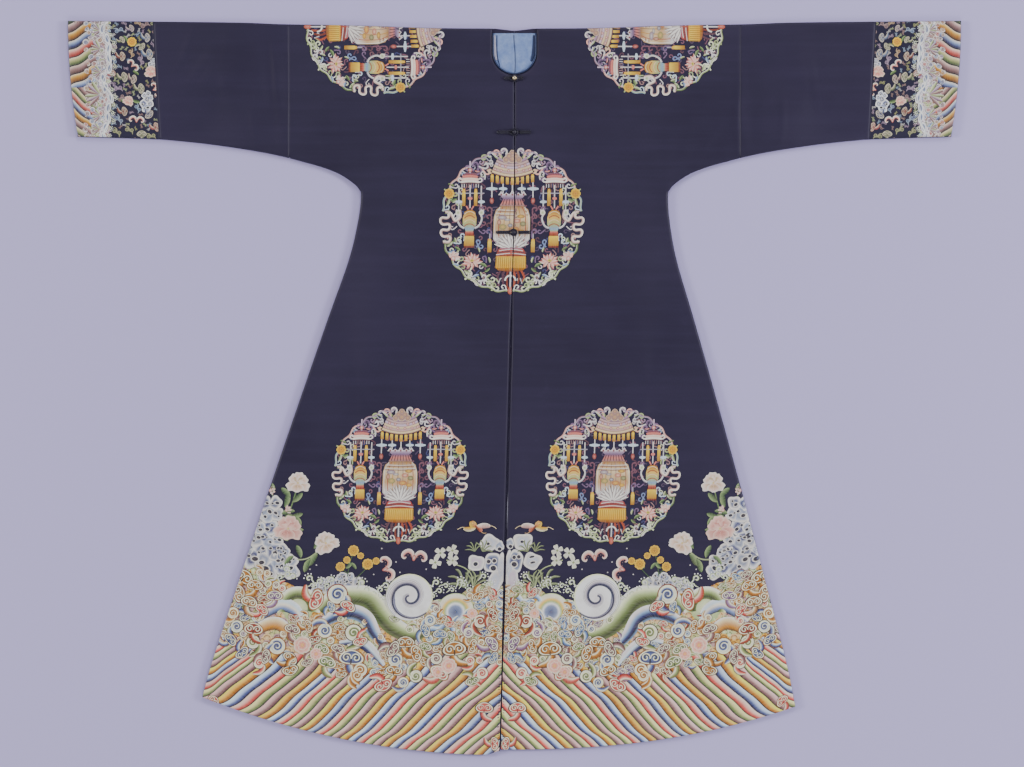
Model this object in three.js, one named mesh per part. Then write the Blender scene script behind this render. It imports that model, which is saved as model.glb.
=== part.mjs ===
// A long padded surcoat of the Qing kind, laid flat on its back: round neck, centre-front opening,
// straight sleeves in one line with the shoulders, separate cuff bands and a curved, flared hem.
// Millimetres. +X is the viewer's right, +Y runs from hem to neck, +Z is up, and Z = 0 is the
// surface it lies on. Left and right are the viewer's.
import * as THREE from "three";

// --- Driving dimensions -------------------------------------------------------------------------

const WALL = 4; // shell, thin silk wadding and lining together
const SEAM_GAP = 0.3; // between neighbouring pieces
const RIM = 5; // how far in from an edge the wall keeps rounding
const RIM_STEP = 1.4; // the middle line of that rounding
const EDGE_SHARE = 0.35; // the wall's height right at an edge, as a share of its full height
const FRONT_Z = WALL + SEAM_GAP; // underside of the front layer
const TOP_Z = FRONT_Z + WALL; // outer face of the front layer

const SHOULDER_Y = 690; // fold of the shoulder beside the neck
const UNDERARM_Y = 368;
const NECK_HALF_WIDTH = 43;
const NECK_BOTTOM_Y = 601;
const BACK_NECK_DIP = 4; // how far the back neckline lies below the shoulder fold
const SLEEVE_SEAM = 434; // from the centre line to the seam of the sleeve length
const CUFF_SEAM = 690; // to the seam of the cuff band
const CUFF_SEAM_SLANT = 6; // the seam lies this much further out at the top, and less far below
const CUFF_END_TOP = 861;
const CUFF_END_BOTTOM = 842;
const CLOSED_HALF_GAP = 0.4; // half the slit of the centre front where it is buttoned
const OPEN_HALF_GAP = 2; // half the slit below, where the edges lie apart
const OPEN_FROM_Y = 180; // the edges begin to part here
const OPEN_AT_Y = 90; // and lie fully apart here
const LEAN = 0.0262; // sideways drift of the skirt towards -X, for each mm below the chest
const LEAN_FROM_Y = 360;
const LEAN_SPREAD = 0.00048; // the drift grows by this share for each mm from the centre line

// The skirt's hem curves from its corner down to the centre front, and may turn up again beside the
// slit. The cloth lies a little askew, so the two halves differ.
const HEM = {
  left: { side: -1, corner_y: -599, drop: 111.5, power: 2, turn_up: 8 },
  right: { side: 1, corner_y: -617, drop: 83, power: 2.4, turn_up: 0 },
};
const TURN_UP_WIDTH = 16; // how far from the slit the hem has turned up by a third

// Outer edge of a body panel: height, and distance from the centre line.
const BODY_EDGE = [
  { y: -620, across: 575 },
  { y: -540, across: 556 },
  { y: -412, across: 518.5 },
  { y: -188, across: 452 },
  { y: -26, across: 402 },
  { y: 128, across: 353.5 },
  { y: 244, across: 316 },
  { y: 321, across: 300 },
  { y: 368, across: 296 },
  { y: 380, across: 300 },
  { y: 391, across: 310 },
  { y: 408, across: 335 },
  { y: 421, across: 366 },
  { y: 431, across: 400 },
  { y: 440, across: SLEEVE_SEAM - SEAM_GAP / 2 },
  { y: 720, across: SLEEVE_SEAM - SEAM_GAP / 2 },
];

// Shoulder fold and top of the sleeve: it sags slightly towards the neck.
const TOP_EDGE = [
  { across: 0, y: SHOULDER_Y },
  { across: 120, y: 690.5 },
  { across: 190, y: 692 },
  { across: 260, y: 694.5 },
  { across: 330, y: 696.5 },
  { across: 450, y: 698.5 },
  { across: 530, y: 701.5 },
  { across: 700, y: 703.5 },
  { across: 870, y: 705 },
];

// Underside of the sleeve, from the seam of the sleeve length to the cuff.
const UNDER_EDGE = [
  { across: 400, y: 431 },
  { across: 434, y: 440 },
  { across: 482, y: 450.5 },
  { across: 540, y: 460 },
  { across: 598, y: 468 },
  { across: 656, y: 474 },
  { across: 700, y: 477 },
  { across: 870, y: 482 },
];

// The largest folds of the front layer: a soft ridge (height > 0) or trough from one point to
// another, as side, distance from the centre line, and height up the garment.
const FOLDS = [
  { side: -1, across: 452, y: 690, to_across: 446, to_y: 452, width: 13, height: 2.4 },
  { side: -1, across: 478, y: 655, to_across: 470, to_y: 470, width: 12, height: -1.2 },
  { side: -1, across: 490, y: 690, to_across: 487, to_y: 520, width: 12, height: 1.6 },
  { side: -1, across: 575, y: 655, to_across: 625, to_y: 520, width: 16, height: 1.6 },
  { side: -1, across: 380, y: 640, to_across: 340, to_y: 470, width: 40, height: 1.2 },
  { side: 1, across: 436, y: 600, to_across: 440, to_y: 452, width: 13, height: 2 },
  { side: 1, across: 470, y: 660, to_across: 474, to_y: 480, width: 14, height: 1.2 },
  { side: 1, across: 600, y: 660, to_across: 640, to_y: 500, width: 22, height: 1 },
  { side: 1, across: 370, y: 640, to_across: 330, to_y: 470, width: 40, height: 1.2 },
  { side: -1, across: 150, y: 60, to_across: 250, to_y: -420, width: 60, height: 1.8 },
  { side: -1, across: 330, y: 120, to_across: 420, to_y: -330, width: 50, height: 1.5 },
  { side: 1, across: 170, y: 90, to_across: 230, to_y: -400, width: 60, height: 1.6 },
  { side: 1, across: 320, y: 150, to_across: 450, to_y: -360, width: 50, height: 1.6 },
  { side: 1, across: 20, y: 40, to_across: 120, to_y: 20, width: 34, height: 1.3 },
];

const BUTTON_RADIUS = 4.5;
const FROG_CORD = 3.2; // width of the folded satin cord
const FROG_HALF_LENGTH = 31;
// The closures down the centre front. The top one has a metal bead, the others a knot of cord.
const CLOSURES = [
  { name: "neck", y: 594, half_length: 17, metal: true },
  { name: "upper", y: 490, half_length: FROG_HALF_LENGTH, metal: false },
  { name: "chest", y: 297, half_length: FROG_HALF_LENGTH, metal: false },
];
const BINDING_RADIUS = 1.4;
const BINDING_INSET = 0.7; // between the neck's edge and the piping
const LINING_THICKNESS = 0.9;
const NECK_STEPS = 6; // grid rows round the quarter circle of the neck

const COLOURS = {
  satin: 0x302b42,
  cuff: 0x39334f,
  lining: 0xa9bccb,
  binding: 0x2b3a5e,
  cord: 0x1f1c2b,
  brass: 0xc9a35c,
};

// --- Small maths --------------------------------------------------------------------------------

const mix = (a, b, t) => a + (b - a) * t;
const clamp01 = (t) => Math.min(1, Math.max(0, t));
const smooth = (t) => clamp01(t) * clamp01(t) * (3 - 2 * clamp01(t));

// The value of one column of a table at a place on another, along straight lines.
function lookUp(table, from, to, place) {
  const last = table.length - 1;
  let row = 0;
  while (row < last - 1 && place > table[row + 1][from]) row += 1;
  const span = table[row + 1][from] - table[row][from];
  return mix(table[row][to], table[row + 1][to], clamp01((place - table[row][from]) / span));
}

const edgeAcross = (y) => lookUp(BODY_EDGE, "y", "across", y);
const topY = (across) => lookUp(TOP_EDGE, "across", "y", across);
const underY = (across) => lookUp(UNDER_EDGE, "across", "y", across);
const leanAt = (y, across = 0) =>
  -LEAN * Math.max(0, LEAN_FROM_Y - y) * (1 + LEAN_SPREAD * across);

// Rise from an edge to the full wall: a quarter round, from EDGE_SHARE to 1.
function rimShare(inset) {
  const left = 1 - clamp01(inset / RIM);
  return EDGE_SHARE + (1 - EDGE_SHARE) * Math.sqrt(1 - left * left);
}

// Height of the largest folds above the plain front layer.
function foldHeight(side, across, y) {
  let height = 0;
  for (const fold of FOLDS) {
    if (fold.side !== side) continue;
    const run = [fold.to_across - fold.across, fold.to_y - fold.y];
    const long = run[0] * run[0] + run[1] * run[1];
    const along = ((across - fold.across) * run[0] + (y - fold.y) * run[1]) / long;
    const near = clamp01(along);
    const away = Math.hypot(
      across - fold.across - run[0] * near,
      y - fold.y - run[1] * near,
    );
    const fade = Math.sin(Math.PI * mix(0.12, 0.88, near));
    height += fold.height * fade * Math.exp(-((away / fold.width) ** 2));
  }
  return height;
}

// --- Building closed grids ----------------------------------------------------------------------

class Skin {
  constructor() {
    this.points = [];
    this.faces = [];
  }
  add(point) {
    this.points.push(point);
    return this.points.length - 1;
  }
  quad(a, b, c, d) {
    this.faces.push(a, b, c, a, c, d);
  }
  geometry() {
    const made = new THREE.BufferGeometry();
    made.setAttribute("position", new THREE.Float32BufferAttribute(this.points.flat(), 3));
    made.setIndex(this.faces);
    made.computeVertexNormals();
    return made;
  }
}

// A sheet with an upper and a lower face over one grid of places. place(i, j) gives
// [x, y, bottom, top]; rows run away from the hem and columns towards +X.
function sheetGeometry(rowCount, columnCount, place) {
  const skin = new Skin();
  const upper = [];
  const lower = [];
  for (let i = 0; i < rowCount; i += 1) {
    upper.push([]);
    lower.push([]);
    for (let j = 0; j < columnCount; j += 1) {
      const [x, y, bottom, top] = place(i, j);
      upper[i].push(skin.add([x, y, top]));
      lower[i].push(skin.add([x, y, bottom]));
    }
  }
  const lastRow = rowCount - 1;
  const lastColumn = columnCount - 1;
  for (let i = 0; i < lastRow; i += 1) {
    for (let j = 0; j < lastColumn; j += 1) {
      skin.quad(upper[i][j], upper[i][j + 1], upper[i + 1][j + 1], upper[i + 1][j]);
      skin.quad(lower[i][j], lower[i + 1][j], lower[i + 1][j + 1], lower[i][j + 1]);
    }
  }
  for (let j = 0; j < lastColumn; j += 1) {
    skin.quad(lower[0][j], lower[0][j + 1], upper[0][j + 1], upper[0][j]);
    skin.quad(lower[lastRow][j + 1], lower[lastRow][j], upper[lastRow][j], upper[lastRow][j + 1]);
  }
  for (let i = 0; i < lastRow; i += 1) {
    skin.quad(lower[i + 1][0], lower[i][0], upper[i][0], upper[i + 1][0]);
    skin.quad(
      lower[i][lastColumn],
      lower[i + 1][lastColumn],
      upper[i + 1][lastColumn],
      upper[i][lastColumn],
    );
  }
  return skin.geometry();
}

// A wall between an outer and an inner tube of closed sections, open at both ends. Each section is
// a list of points in the same order.
function tubeGeometry(outerSections, innerSections) {
  const skin = new Skin();
  const outer = outerSections.map((section) => section.map((point) => skin.add(point)));
  const inner = innerSections.map((section) => section.map((point) => skin.add(point)));
  const around = outer[0].length;
  const last = outer.length - 1;
  for (let k = 0; k < around; k += 1) {
    const next = (k + 1) % around;
    for (let i = 0; i < last; i += 1) {
      skin.quad(outer[i][k], outer[i + 1][k], outer[i + 1][next], outer[i][next]);
      skin.quad(inner[i][k], inner[i][next], inner[i + 1][next], inner[i + 1][k]);
    }
    skin.quad(outer[0][k], outer[0][next], inner[0][next], inner[0][k]);
    skin.quad(outer[last][k], inner[last][k], inner[last][next], outer[last][next]);
  }
  return skin.geometry();
}

// A grid's lines across a panel: how far in from the nearer edge, and the share of the way.
function gridLines(count) {
  const lines = [{ share: 0, inset: 0 }, { share: 0, inset: RIM_STEP }];
  for (let i = 0; i <= count; i += 1) lines.push({ share: i / count, inset: RIM });
  lines.push({ share: 1, inset: RIM_STEP }, { share: 1, inset: 0 });
  return lines;
}

// The place of such a line between two edges.
function between(low, high, line) {
  return line.share < 0.5
    ? mix(low + line.inset, high - RIM, line.share)
    : mix(low + RIM, high - line.inset, line.share);
}

// --- Body panels --------------------------------------------------------------------------------

// Heights of a body panel's grid rows, measured on its outer edge. The front needs more of them
// round its neck.
function bodyRows(half, isFront) {
  const rows = [
    { y: half.corner_y, inset: 0 },
    { y: half.corner_y + RIM_STEP, inset: RIM_STEP },
  ];
  const skirt = isFront
    ? [-540, -450, -360, -270, -180, -90, 0, 90, 170, 244, 300, 340]
    : [-450, -270, -90, 90, 244, 321];
  for (const y of [half.corner_y + RIM, ...skirt]) rows.push({ y, inset: RIM });
  for (const edge of BODY_EDGE) {
    if (edge.y >= UNDERARM_Y && edge.y <= 440) rows.push({ y: edge.y, inset: RIM });
  }
  for (const y of isFront ? [470, 510, 555] : [530]) rows.push({ y, inset: RIM });
  for (let i = 0; isFront && i <= NECK_STEPS; i += 1) {
    const rise = 1 - Math.cos((Math.PI / 2) * (i / NECK_STEPS));
    rows.push({ y: NECK_BOTTOM_Y + NECK_HALF_WIDTH * rise, inset: RIM });
  }
  for (const y of [668, SHOULDER_Y - RIM]) rows.push({ y, inset: RIM });
  rows.push({ y: SHOULDER_Y - RIM_STEP, inset: RIM_STEP }, { y: SHOULDER_Y, inset: 0 });
  return rows;
}

// A point of a half of the body: the hem's curve fades out towards the underarm, and the
// shoulder's sag fades in above the neck's foot.
function bodyPoint(half, across, share, rowY) {
  const down = clamp01((UNDERARM_Y - rowY) / (UNDERARM_Y - half.corner_y));
  const up = smooth((rowY - 560) / (SHOULDER_Y - 560));
  const nearHem = smooth((half.corner_y + 90 - rowY) / 90);
  const turnUp = half.turn_up * Math.exp(-((across / TURN_UP_WIDTH) ** 2)) * nearHem;
  const hem = half.drop * (1 - share ** half.power) * down;
  const y = rowY - hem + turnUp + (topY(across) - SHOULDER_Y) * up;
  return [half.side * across + leanAt(y, across), y];
}

// The front panel's inner edge: the centre-front slit, then the neck's rounded U.
function frontInner(rowY) {
  if (rowY >= NECK_BOTTOM_Y) {
    const rise = clamp01((rowY - NECK_BOTTOM_Y) / NECK_HALF_WIDTH);
    const left = 1 - rise;
    const curve = NECK_HALF_WIDTH * Math.sqrt(1 - left * left);
    return Math.max(CLOSED_HALF_GAP, curve);
  }
  const parting = smooth((OPEN_FROM_Y - rowY) / (OPEN_FROM_Y - OPEN_AT_Y));
  return mix(CLOSED_HALF_GAP, OPEN_HALF_GAP, parting);
}

const backInner = () => SEAM_GAP / 2;

function bodyPanel(half, columnCount, isFront) {
  const rows = bodyRows(half, isFront);
  const lines = gridLines(columnCount);
  const ordered = half.side > 0 ? lines : [...lines].reverse();
  const inner = isFront ? frontInner : backInner;
  return sheetGeometry(rows.length, ordered.length, (i, j) => {
    const row = rows[i];
    const line = ordered[j];
    const innerEdge = inner(row.y);
    const outerEdge = edgeAcross(row.y);
    const across = between(innerEdge, outerEdge, line);
    const share = clamp01((across - innerEdge) / (outerEdge - innerEdge));
    const [x, y] = bodyPoint(half, across, share, row.y);
    const atSleeve = row.y >= 440 && line.share > 0.5;
    const rise = Math.min(rimShare(atSleeve ? RIM : line.inset), rimShare(row.inset));
    // The front rounds over on top, and the back rounds up from the surface it lies on.
    if (!isFront) return [x, y, WALL * (1 - rise), WALL];
    return [x, y, FRONT_Z, FRONT_Z + (WALL + foldHeight(half.side, across, y)) * rise];
  });
}

// The back panel between the two shoulder points drops to the back neckline.
function backPanel(half) {
  const geometry = bodyPanel(half, 6, false);
  const position = geometry.getAttribute("position");
  for (let i = 0; i < position.count; i += 1) {
    const across = Math.abs(position.getX(i));
    const y = position.getY(i);
    if (y < SHOULDER_Y - 40 || across > NECK_HALF_WIDTH) continue;
    const dip = BACK_NECK_DIP * smooth(1 - across / NECK_HALF_WIDTH);
    position.setY(i, y - dip * smooth((y - SHOULDER_Y + 40) / 40));
  }
  return geometry;
}

// --- Sleeves and cuff bands ---------------------------------------------------------------------

// One section of a flattened tube: where each point lies between the lower and the upper edge of
// the sleeve, and its height. The outer section is rounded at its folds and flat underneath.
function sleeveRing(pointsAcross) {
  const round = [
    { inset: 0, z: TOP_Z * 0.5 },
    { inset: RIM_STEP, z: TOP_Z * 0.86 },
  ];
  const ring = [];
  for (const { inset, z } of round) ring.push({ share: 0, inset, z, upper: false });
  for (let i = 0; i <= pointsAcross; i += 1) {
    ring.push({ share: i / pointsAcross, inset: RIM, z: TOP_Z, upper: true });
  }
  for (const { inset, z } of [...round].reverse()) ring.push({ share: 1, inset, z, upper: false });
  for (let i = pointsAcross; i >= 0; i -= 1) {
    ring.push({ share: i / pointsAcross, inset: RIM_STEP, z: 0, upper: false });
  }
  return ring;
}

// The slot inside the tube, point for point with the outer section.
function slotRing(ring) {
  const low = WALL;
  const high = WALL + SEAM_GAP;
  return ring.map(({ share, inset, z, upper }) => {
    if (upper) return { share, inset: RIM + WALL, z: high, upper };
    if (z === 0) return { share, inset: RIM + WALL, z: low, upper };
    return { share, inset: RIM + (inset === 0 ? 0 : WALL / 2), z: (low + high) / 2, upper };
  });
}

function sleeveTube(side, startAt, endAt, stations, pointsAcross) {
  const ring = sleeveRing(pointsAcross);
  const slot = slotRing(ring);
  const section = (points, station) =>
    points.map(({ share, inset, z, upper }) => {
      const rough = mix(startAt(share), endAt(share), station);
      const low = underY(rough);
      const high = topY(rough);
      const y = share < 0.5
        ? mix(low + inset, high - RIM, share)
        : mix(low + RIM, high - inset, share);
      const fold = upper && z === TOP_Z ? foldHeight(side, rough, y) : 0;
      return [side * rough, y, z + fold];
    });
  const outer = stations.map((station) => section(ring, station));
  const inner = stations.map((station) => section(slot, station));
  return side > 0 ? tubeGeometry(outer, inner) : tubeGeometry(mirrored(outer), mirrored(inner));
}

// The same sections walked the other way round, so that a mirrored tube still faces out.
const mirrored = (sections) => sections.map((section) => [...section].reverse());

const cuffSeamAt = (share) => CUFF_SEAM + CUFF_SEAM_SLANT * (share - 0.5) * 2;
const cuffEndAt = (share) => mix(CUFF_END_BOTTOM, CUFF_END_TOP, share * (2 - share));

function sleevePiece(side) {
  const stations = [0, 0.03, 0.07, 0.11, 0.16, 0.22, 0.3, 0.42, 0.55, 0.67, 0.78, 0.9, 1];
  return sleeveTube(
    side,
    () => SLEEVE_SEAM + SEAM_GAP / 2,
    (share) => cuffSeamAt(share) - SEAM_GAP / 2,
    stations,
    9,
  );
}

function cuffPiece(side) {
  return sleeveTube(
    side,
    (share) => cuffSeamAt(share) + SEAM_GAP / 2,
    cuffEndAt,
    [0, 0.25, 0.5, 0.75, 1],
    8,
  );
}

// --- Neck ---------------------------------------------------------------------------------------

// A round piping just inside the front's neck edge: down one side of the U and up the other.
function neckBinding() {
  const radius = NECK_HALF_WIDTH - BINDING_RADIUS - BINDING_INSET;
  const centre = NECK_BOTTOM_Y + NECK_HALF_WIDTH;
  const top = SHOULDER_Y - RIM - BACK_NECK_DIP;
  const points = [new THREE.Vector3(-radius, top, 0)];
  const steps = 4 * NECK_STEPS;
  for (let i = 0; i <= steps; i += 1) {
    const turn = Math.PI * (1 + i / steps);
    const out = new THREE.Vector3(Math.cos(turn), Math.sin(turn), 0);
    points.push(out.multiplyScalar(radius).add(new THREE.Vector3(0, centre, 0)));
  }
  points.push(new THREE.Vector3(radius, top, 0));
  return cordGeometry(points, BINDING_RADIUS, TOP_Z - BINDING_RADIUS);
}

// The lining of the back, where the neck lets it show.
function neckLining() {
  const radius = NECK_HALF_WIDTH - 1;
  const centre = NECK_BOTTOM_Y + NECK_HALF_WIDTH;
  const shape = new THREE.Shape();
  const top = SHOULDER_Y - RIM - BACK_NECK_DIP;
  shape.moveTo(-radius, top);
  shape.lineTo(-radius, centre);
  shape.absarc(0, centre, radius, Math.PI, 2 * Math.PI, false);
  shape.lineTo(radius, top);
  shape.closePath();
  const geometry = new THREE.ExtrudeGeometry(shape, {
    depth: LINING_THICKNESS,
    bevelEnabled: false,
    curveSegments: 14,
  });
  geometry.translate(0, 0, FRONT_Z);
  return geometry;
}

// --- Closures -----------------------------------------------------------------------------------

// A round cord through the points, at one height, with flat ends.
function cordGeometry(points, radius, z) {
  const sides = 6;
  const skin = new Skin();
  const rings = points.map((point, i) => {
    const before = points[Math.max(0, i - 1)];
    const after = points[Math.min(points.length - 1, i + 1)];
    const along = new THREE.Vector3().subVectors(after, before).normalize();
    const ring = [];
    for (let k = 0; k < sides; k += 1) {
      const turn = (2 * Math.PI * (k + 0.5)) / sides;
      const out = radius * Math.cos(turn);
      ring.push(skin.add([
        point.x - along.y * out,
        point.y + along.x * out,
        z + radius * Math.sin(turn),
      ]));
    }
    return ring;
  });
  const last = rings.length - 1;
  for (let i = 0; i < last; i += 1) {
    for (let k = 0; k < sides; k += 1) {
      const next = (k + 1) % sides;
      skin.quad(rings[i][k], rings[i][next], rings[i + 1][next], rings[i + 1][k]);
    }
  }
  for (let k = 1; k < sides - 1; k += 1) {
    skin.faces.push(rings[0][0], rings[0][k + 1], rings[0][k]);
    skin.faces.push(rings[last][0], rings[last][k], rings[last][k + 1]);
  }
  return skin.geometry();
}

// The half with the button: a bar of cord on the right front that ends in a bead or knot.
function buttonGeometry() {
  const profile = [];
  const steps = 6;
  for (let i = 0; i <= steps; i += 1) {
    const turn = Math.PI * (i / steps - 0.5);
    profile.push(new THREE.Vector2(
      i === 0 || i === steps ? 0 : BUTTON_RADIUS * Math.cos(turn),
      BUTTON_RADIUS * Math.sin(turn),
    ));
  }
  const geometry = new THREE.LatheGeometry(profile, 12);
  geometry.rotateX(Math.PI / 2);
  return geometry;
}

const FROG_Z = TOP_Z + FROG_CORD / 2 + SEAM_GAP;
// The loop's ring rests against the button, which stands higher than the cord.
const LOOP_RING = Math.sqrt(
  (BUTTON_RADIUS + FROG_CORD / 2 + SEAM_GAP) ** 2 - (BUTTON_RADIUS - FROG_CORD / 2) ** 2,
);

function barPoints(from, to) {
  const points = [];
  for (let i = 0; i <= 4; i += 1) points.push(new THREE.Vector3(mix(from, to, i / 4), 0, 0));
  return points;
}

// The half with the loop: the bar's cord opens into a ring round the button.
function loopPoints(closure) {
  const points = [new THREE.Vector3(-closure.half_length, 0, 0)];
  const start = Math.PI * 1.12;
  const sweep = Math.PI * 1.72;
  points.push(new THREE.Vector3(-LOOP_RING - 5, 0, 0));
  const steps = 12;
  for (let i = 0; i <= steps; i += 1) {
    const turn = start + sweep * (i / steps);
    points.push(new THREE.Vector3(Math.cos(turn), Math.sin(turn), 0).multiplyScalar(LOOP_RING));
  }
  return points;
}

// --- Assembly -----------------------------------------------------------------------------------

const surcoat = new THREE.Group();
surcoat.name = "surcoat";

function addPiece(name, geometry, colour, finish, group = surcoat) {
  const material = new THREE.MeshStandardMaterial({ color: colour, ...finish });
  const mesh = new THREE.Mesh(geometry, material);
  mesh.name = name;
  group.add(mesh);
  return mesh;
}

const SILK = { roughness: 0.45, metalness: 0 };
const METAL = { roughness: 0.3, metalness: 1 };

for (const [name, half] of Object.entries(HEM)) {
  addPiece(`back_${name}`, backPanel(half), COLOURS.satin, SILK);
  const front = bodyPanel(half, 9, true);
  addPiece(`front_${name}`, front, COLOURS.satin, SILK);
  addPiece(`sleeve_${name}`, sleevePiece(half.side), COLOURS.satin, SILK);
  addPiece(`cuff_${name}`, cuffPiece(half.side), COLOURS.cuff, SILK);
}
addPiece("neck_lining", neckLining(), COLOURS.lining, SILK);
addPiece("neck_binding", neckBinding(), COLOURS.binding, SILK);

for (const closure of CLOSURES) {
  const group = new THREE.Group();
  group.position.set(leanAt(closure.y), closure.y, FROG_Z);
  const button = addPiece(
    `button_${closure.name}`,
    buttonGeometry(),
    closure.metal ? COLOURS.brass : COLOURS.cord,
    closure.metal ? METAL : SILK,
    group,
  );
  button.position.z = BUTTON_RADIUS - FROG_CORD / 2;
  const bar = barPoints(LOOP_RING + FROG_CORD / 2 + SEAM_GAP, closure.half_length);
  addPiece(`frog_bar_${closure.name}`, cordGeometry(bar, FROG_CORD / 2, 0), COLOURS.cord, SILK, group);
  const loop = cordGeometry(loopPoints(closure), FROG_CORD / 2, 0);
  addPiece(`frog_loop_${closure.name}`, loop, COLOURS.cord, SILK, group);
  surcoat.add(group);
}

export default surcoat;
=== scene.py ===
"""A long padded surcoat of the Qing kind, laid flat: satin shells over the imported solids, and
silk embroidery drawn shape by shape and laid on the cloth. Lengths are millimetres until a mesh
is made. Places on the garment are given as a side (-1 left, 1 right, as seen), a distance
"across" from its centre line and a height "up"."""

import math

import bpy
import numpy as np
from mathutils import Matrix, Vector


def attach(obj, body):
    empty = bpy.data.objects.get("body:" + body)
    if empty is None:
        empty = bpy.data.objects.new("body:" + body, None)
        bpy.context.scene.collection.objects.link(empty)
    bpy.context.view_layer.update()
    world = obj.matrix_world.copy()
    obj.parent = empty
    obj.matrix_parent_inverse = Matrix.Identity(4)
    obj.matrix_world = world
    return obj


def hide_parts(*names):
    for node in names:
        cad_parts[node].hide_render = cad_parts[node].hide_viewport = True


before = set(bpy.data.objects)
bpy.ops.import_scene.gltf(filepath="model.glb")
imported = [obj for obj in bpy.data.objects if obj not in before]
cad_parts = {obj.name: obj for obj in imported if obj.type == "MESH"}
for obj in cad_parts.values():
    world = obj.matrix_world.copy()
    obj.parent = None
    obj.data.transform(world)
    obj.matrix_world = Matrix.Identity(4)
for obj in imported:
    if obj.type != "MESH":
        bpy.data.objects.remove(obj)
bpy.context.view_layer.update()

MM = 0.001
TAU = 2 * math.pi

# --- The garment's sizes, as in the solids ------------------------------------------------------

WALL = 4.0
FRONT_Z = 4.3  # underside of the front layer
MID_Z = 4.15
TOP_Z = 8.3
RIM = 5.5  # how far in from an edge the cloth keeps rounding
EDGE_RISE = 0.6  # from the layer's middle to where the rounding starts
SHOULDER_Y = 690.0
UNDERARM_Y = 368.0
NECK_HALF_WIDTH = 43.0
NECK_BOTTOM_Y = 601.0
NECK_CENTRE_Y = NECK_BOTTOM_Y + NECK_HALF_WIDTH
BACK_NECK_DIP = 4.0
SLEEVE_SEAM = 434.0
CUFF_SEAM, CUFF_SEAM_SLANT = 690.0, 6.0
CUFF_END_TOP, CUFF_END_BOTTOM = 861.0, 842.0
CUFF_LENGTH = 160.0
CUFF_LOW_Y, CUFF_DEPTH = 476.0, 228.0
BODY_TOP_Y = 440.0  # where the side edge ends at the sleeve seam
SLEEVE_FROM_X, SLEEVE_FROM_Y = 302, 360  # past these, the nearest lower edge is the sleeve's
SIDE_SLANT, SLEEVE_SLANT, HEM_SLANT = 0.95, 0.94, 0.97  # about the cosine of each edge's slant
FAR = 1e3  # farther in than any rim
CLOSED_HALF_GAP, OPEN_HALF_GAP = 0.4, 2.0
OPEN_FROM_Y, OPEN_AT_Y = 180.0, 90.0
# Towards the hem the parting closes again: by this share, from this height, over this run.
NARROWING, NARROW_FROM_Y, NARROW_RUN = 0.55, -430, 130
LEAN, LEAN_FROM_Y, LEAN_SPREAD = 0.0262, 360.0, 0.00048
# The hem of each side: height of its corner, drop to the slit, power of the curve, and how far it
# turns up again beside the slit.
HEM = {-1: (-599.0, 111.5, 2.0, 8.0), 1: (-617.0, 83.0, 2.4, 0.0)}
TURN_UP_WIDTH = 16.0
NAMES = {-1: "left", 1: "right"}

# Outer edge from below the hem's corner up to the sleeve seam: up, across.
BODY_EDGE = np.array([
    (-720, 602), (-620, 575), (-540, 556), (-412, 518.5), (-188, 452), (-26, 402), (128, 353.5),
    (244, 316), (321, 300), (368, 296), (380, 300), (391, 310), (408, 335), (421, 366), (431, 400),
    (440, 434),
], float)
# Shoulder fold and underside of the sleeve: across, up.
TOP_EDGE = np.array([
    (0, 690), (120, 690.5), (190, 692), (260, 694.5), (330, 696.5), (450, 698.5), (530, 701.5),
    (700, 703.5), (870, 705),
], float)
UNDER_EDGE = np.array([
    (366, 421), (400, 431), (434, 440), (482, 450.5), (540, 460), (598, 468), (656, 474),
    (700, 477), (870, 482),
], float)

# Soft ridges and troughs of the cloth: side, from across, up, to across, up, width, height.
FOLDS = [
    (-1, 452, 690, 446, 452, 13, 2.4), (-1, 478, 655, 470, 470, 12, -1.2),
    (-1, 490, 690, 487, 520, 12, 1.6), (-1, 575, 655, 625, 520, 16, 1.6),
    (-1, 380, 640, 340, 470, 40, 1.2), (1, 436, 600, 440, 452, 13, 2.0),
    (1, 470, 660, 474, 480, 14, 1.2), (1, 600, 660, 640, 500, 22, 1.0),
    (1, 370, 640, 330, 470, 40, 1.2), (-1, 150, 60, 250, -420, 60, 1.8),
    (-1, 330, 120, 420, -330, 50, 1.5), (1, 170, 90, 230, -400, 60, 1.6),
    (1, 320, 150, 450, -360, 50, 1.6), (1, 20, 40, 120, 20, 34, 1.3),
]
# Finer creases that only the shells carry.
CREASES = [
    (-1, 440, 640, 438, 470, 4, -1.5), (-1, 466, 690, 459, 560, 5, 1.4),
    (-1, 508, 600, 500, 462, 6, 1.3), (-1, 548, 690, 566, 610, 7, 1.3),
    (-1, 590, 640, 640, 560, 7, 1.4), (-1, 618, 690, 655, 600, 6, 1.1),
    (-1, 398, 520, 352, 428, 7, 0.9), (-1, 350, 560, 318, 420, 9, 0.7),
    (-1, 420, 470, 380, 432, 5, 0.8), (-1, 300, 480, 285, 330, 8, 0.7),
    (1, 430, 560, 428, 446, 5, 1.4), (1, 446, 620, 450, 560, 5, -1.0),
    (1, 520, 560, 512, 465, 6, 1.2), (1, 566, 640, 590, 520, 7, 0.9),
    (1, 396, 510, 350, 424, 7, 0.9), (1, 345, 540, 316, 410, 9, 0.7),
    (1, 300, 470, 284, 320, 8, 0.7), (1, 14, 78, 110, 60, 7, 0.5),
    (1, 10, 40, 96, 28, 8, 0.6), (1, 16, 4, 84, -6, 7, 0.5), (1, 12, -40, 70, -46, 8, 0.5),
    (-1, 12, 90, 60, 84, 8, 0.4), (-1, 160, 230, 150, 60, 10, 0.4), (1, 200, 200, 226, 20, 10, 0.4),
    (-1, 60, 500, 120, 380, 12, 0.4), (1, 70, 520, 140, 400, 12, 0.4),
]


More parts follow.
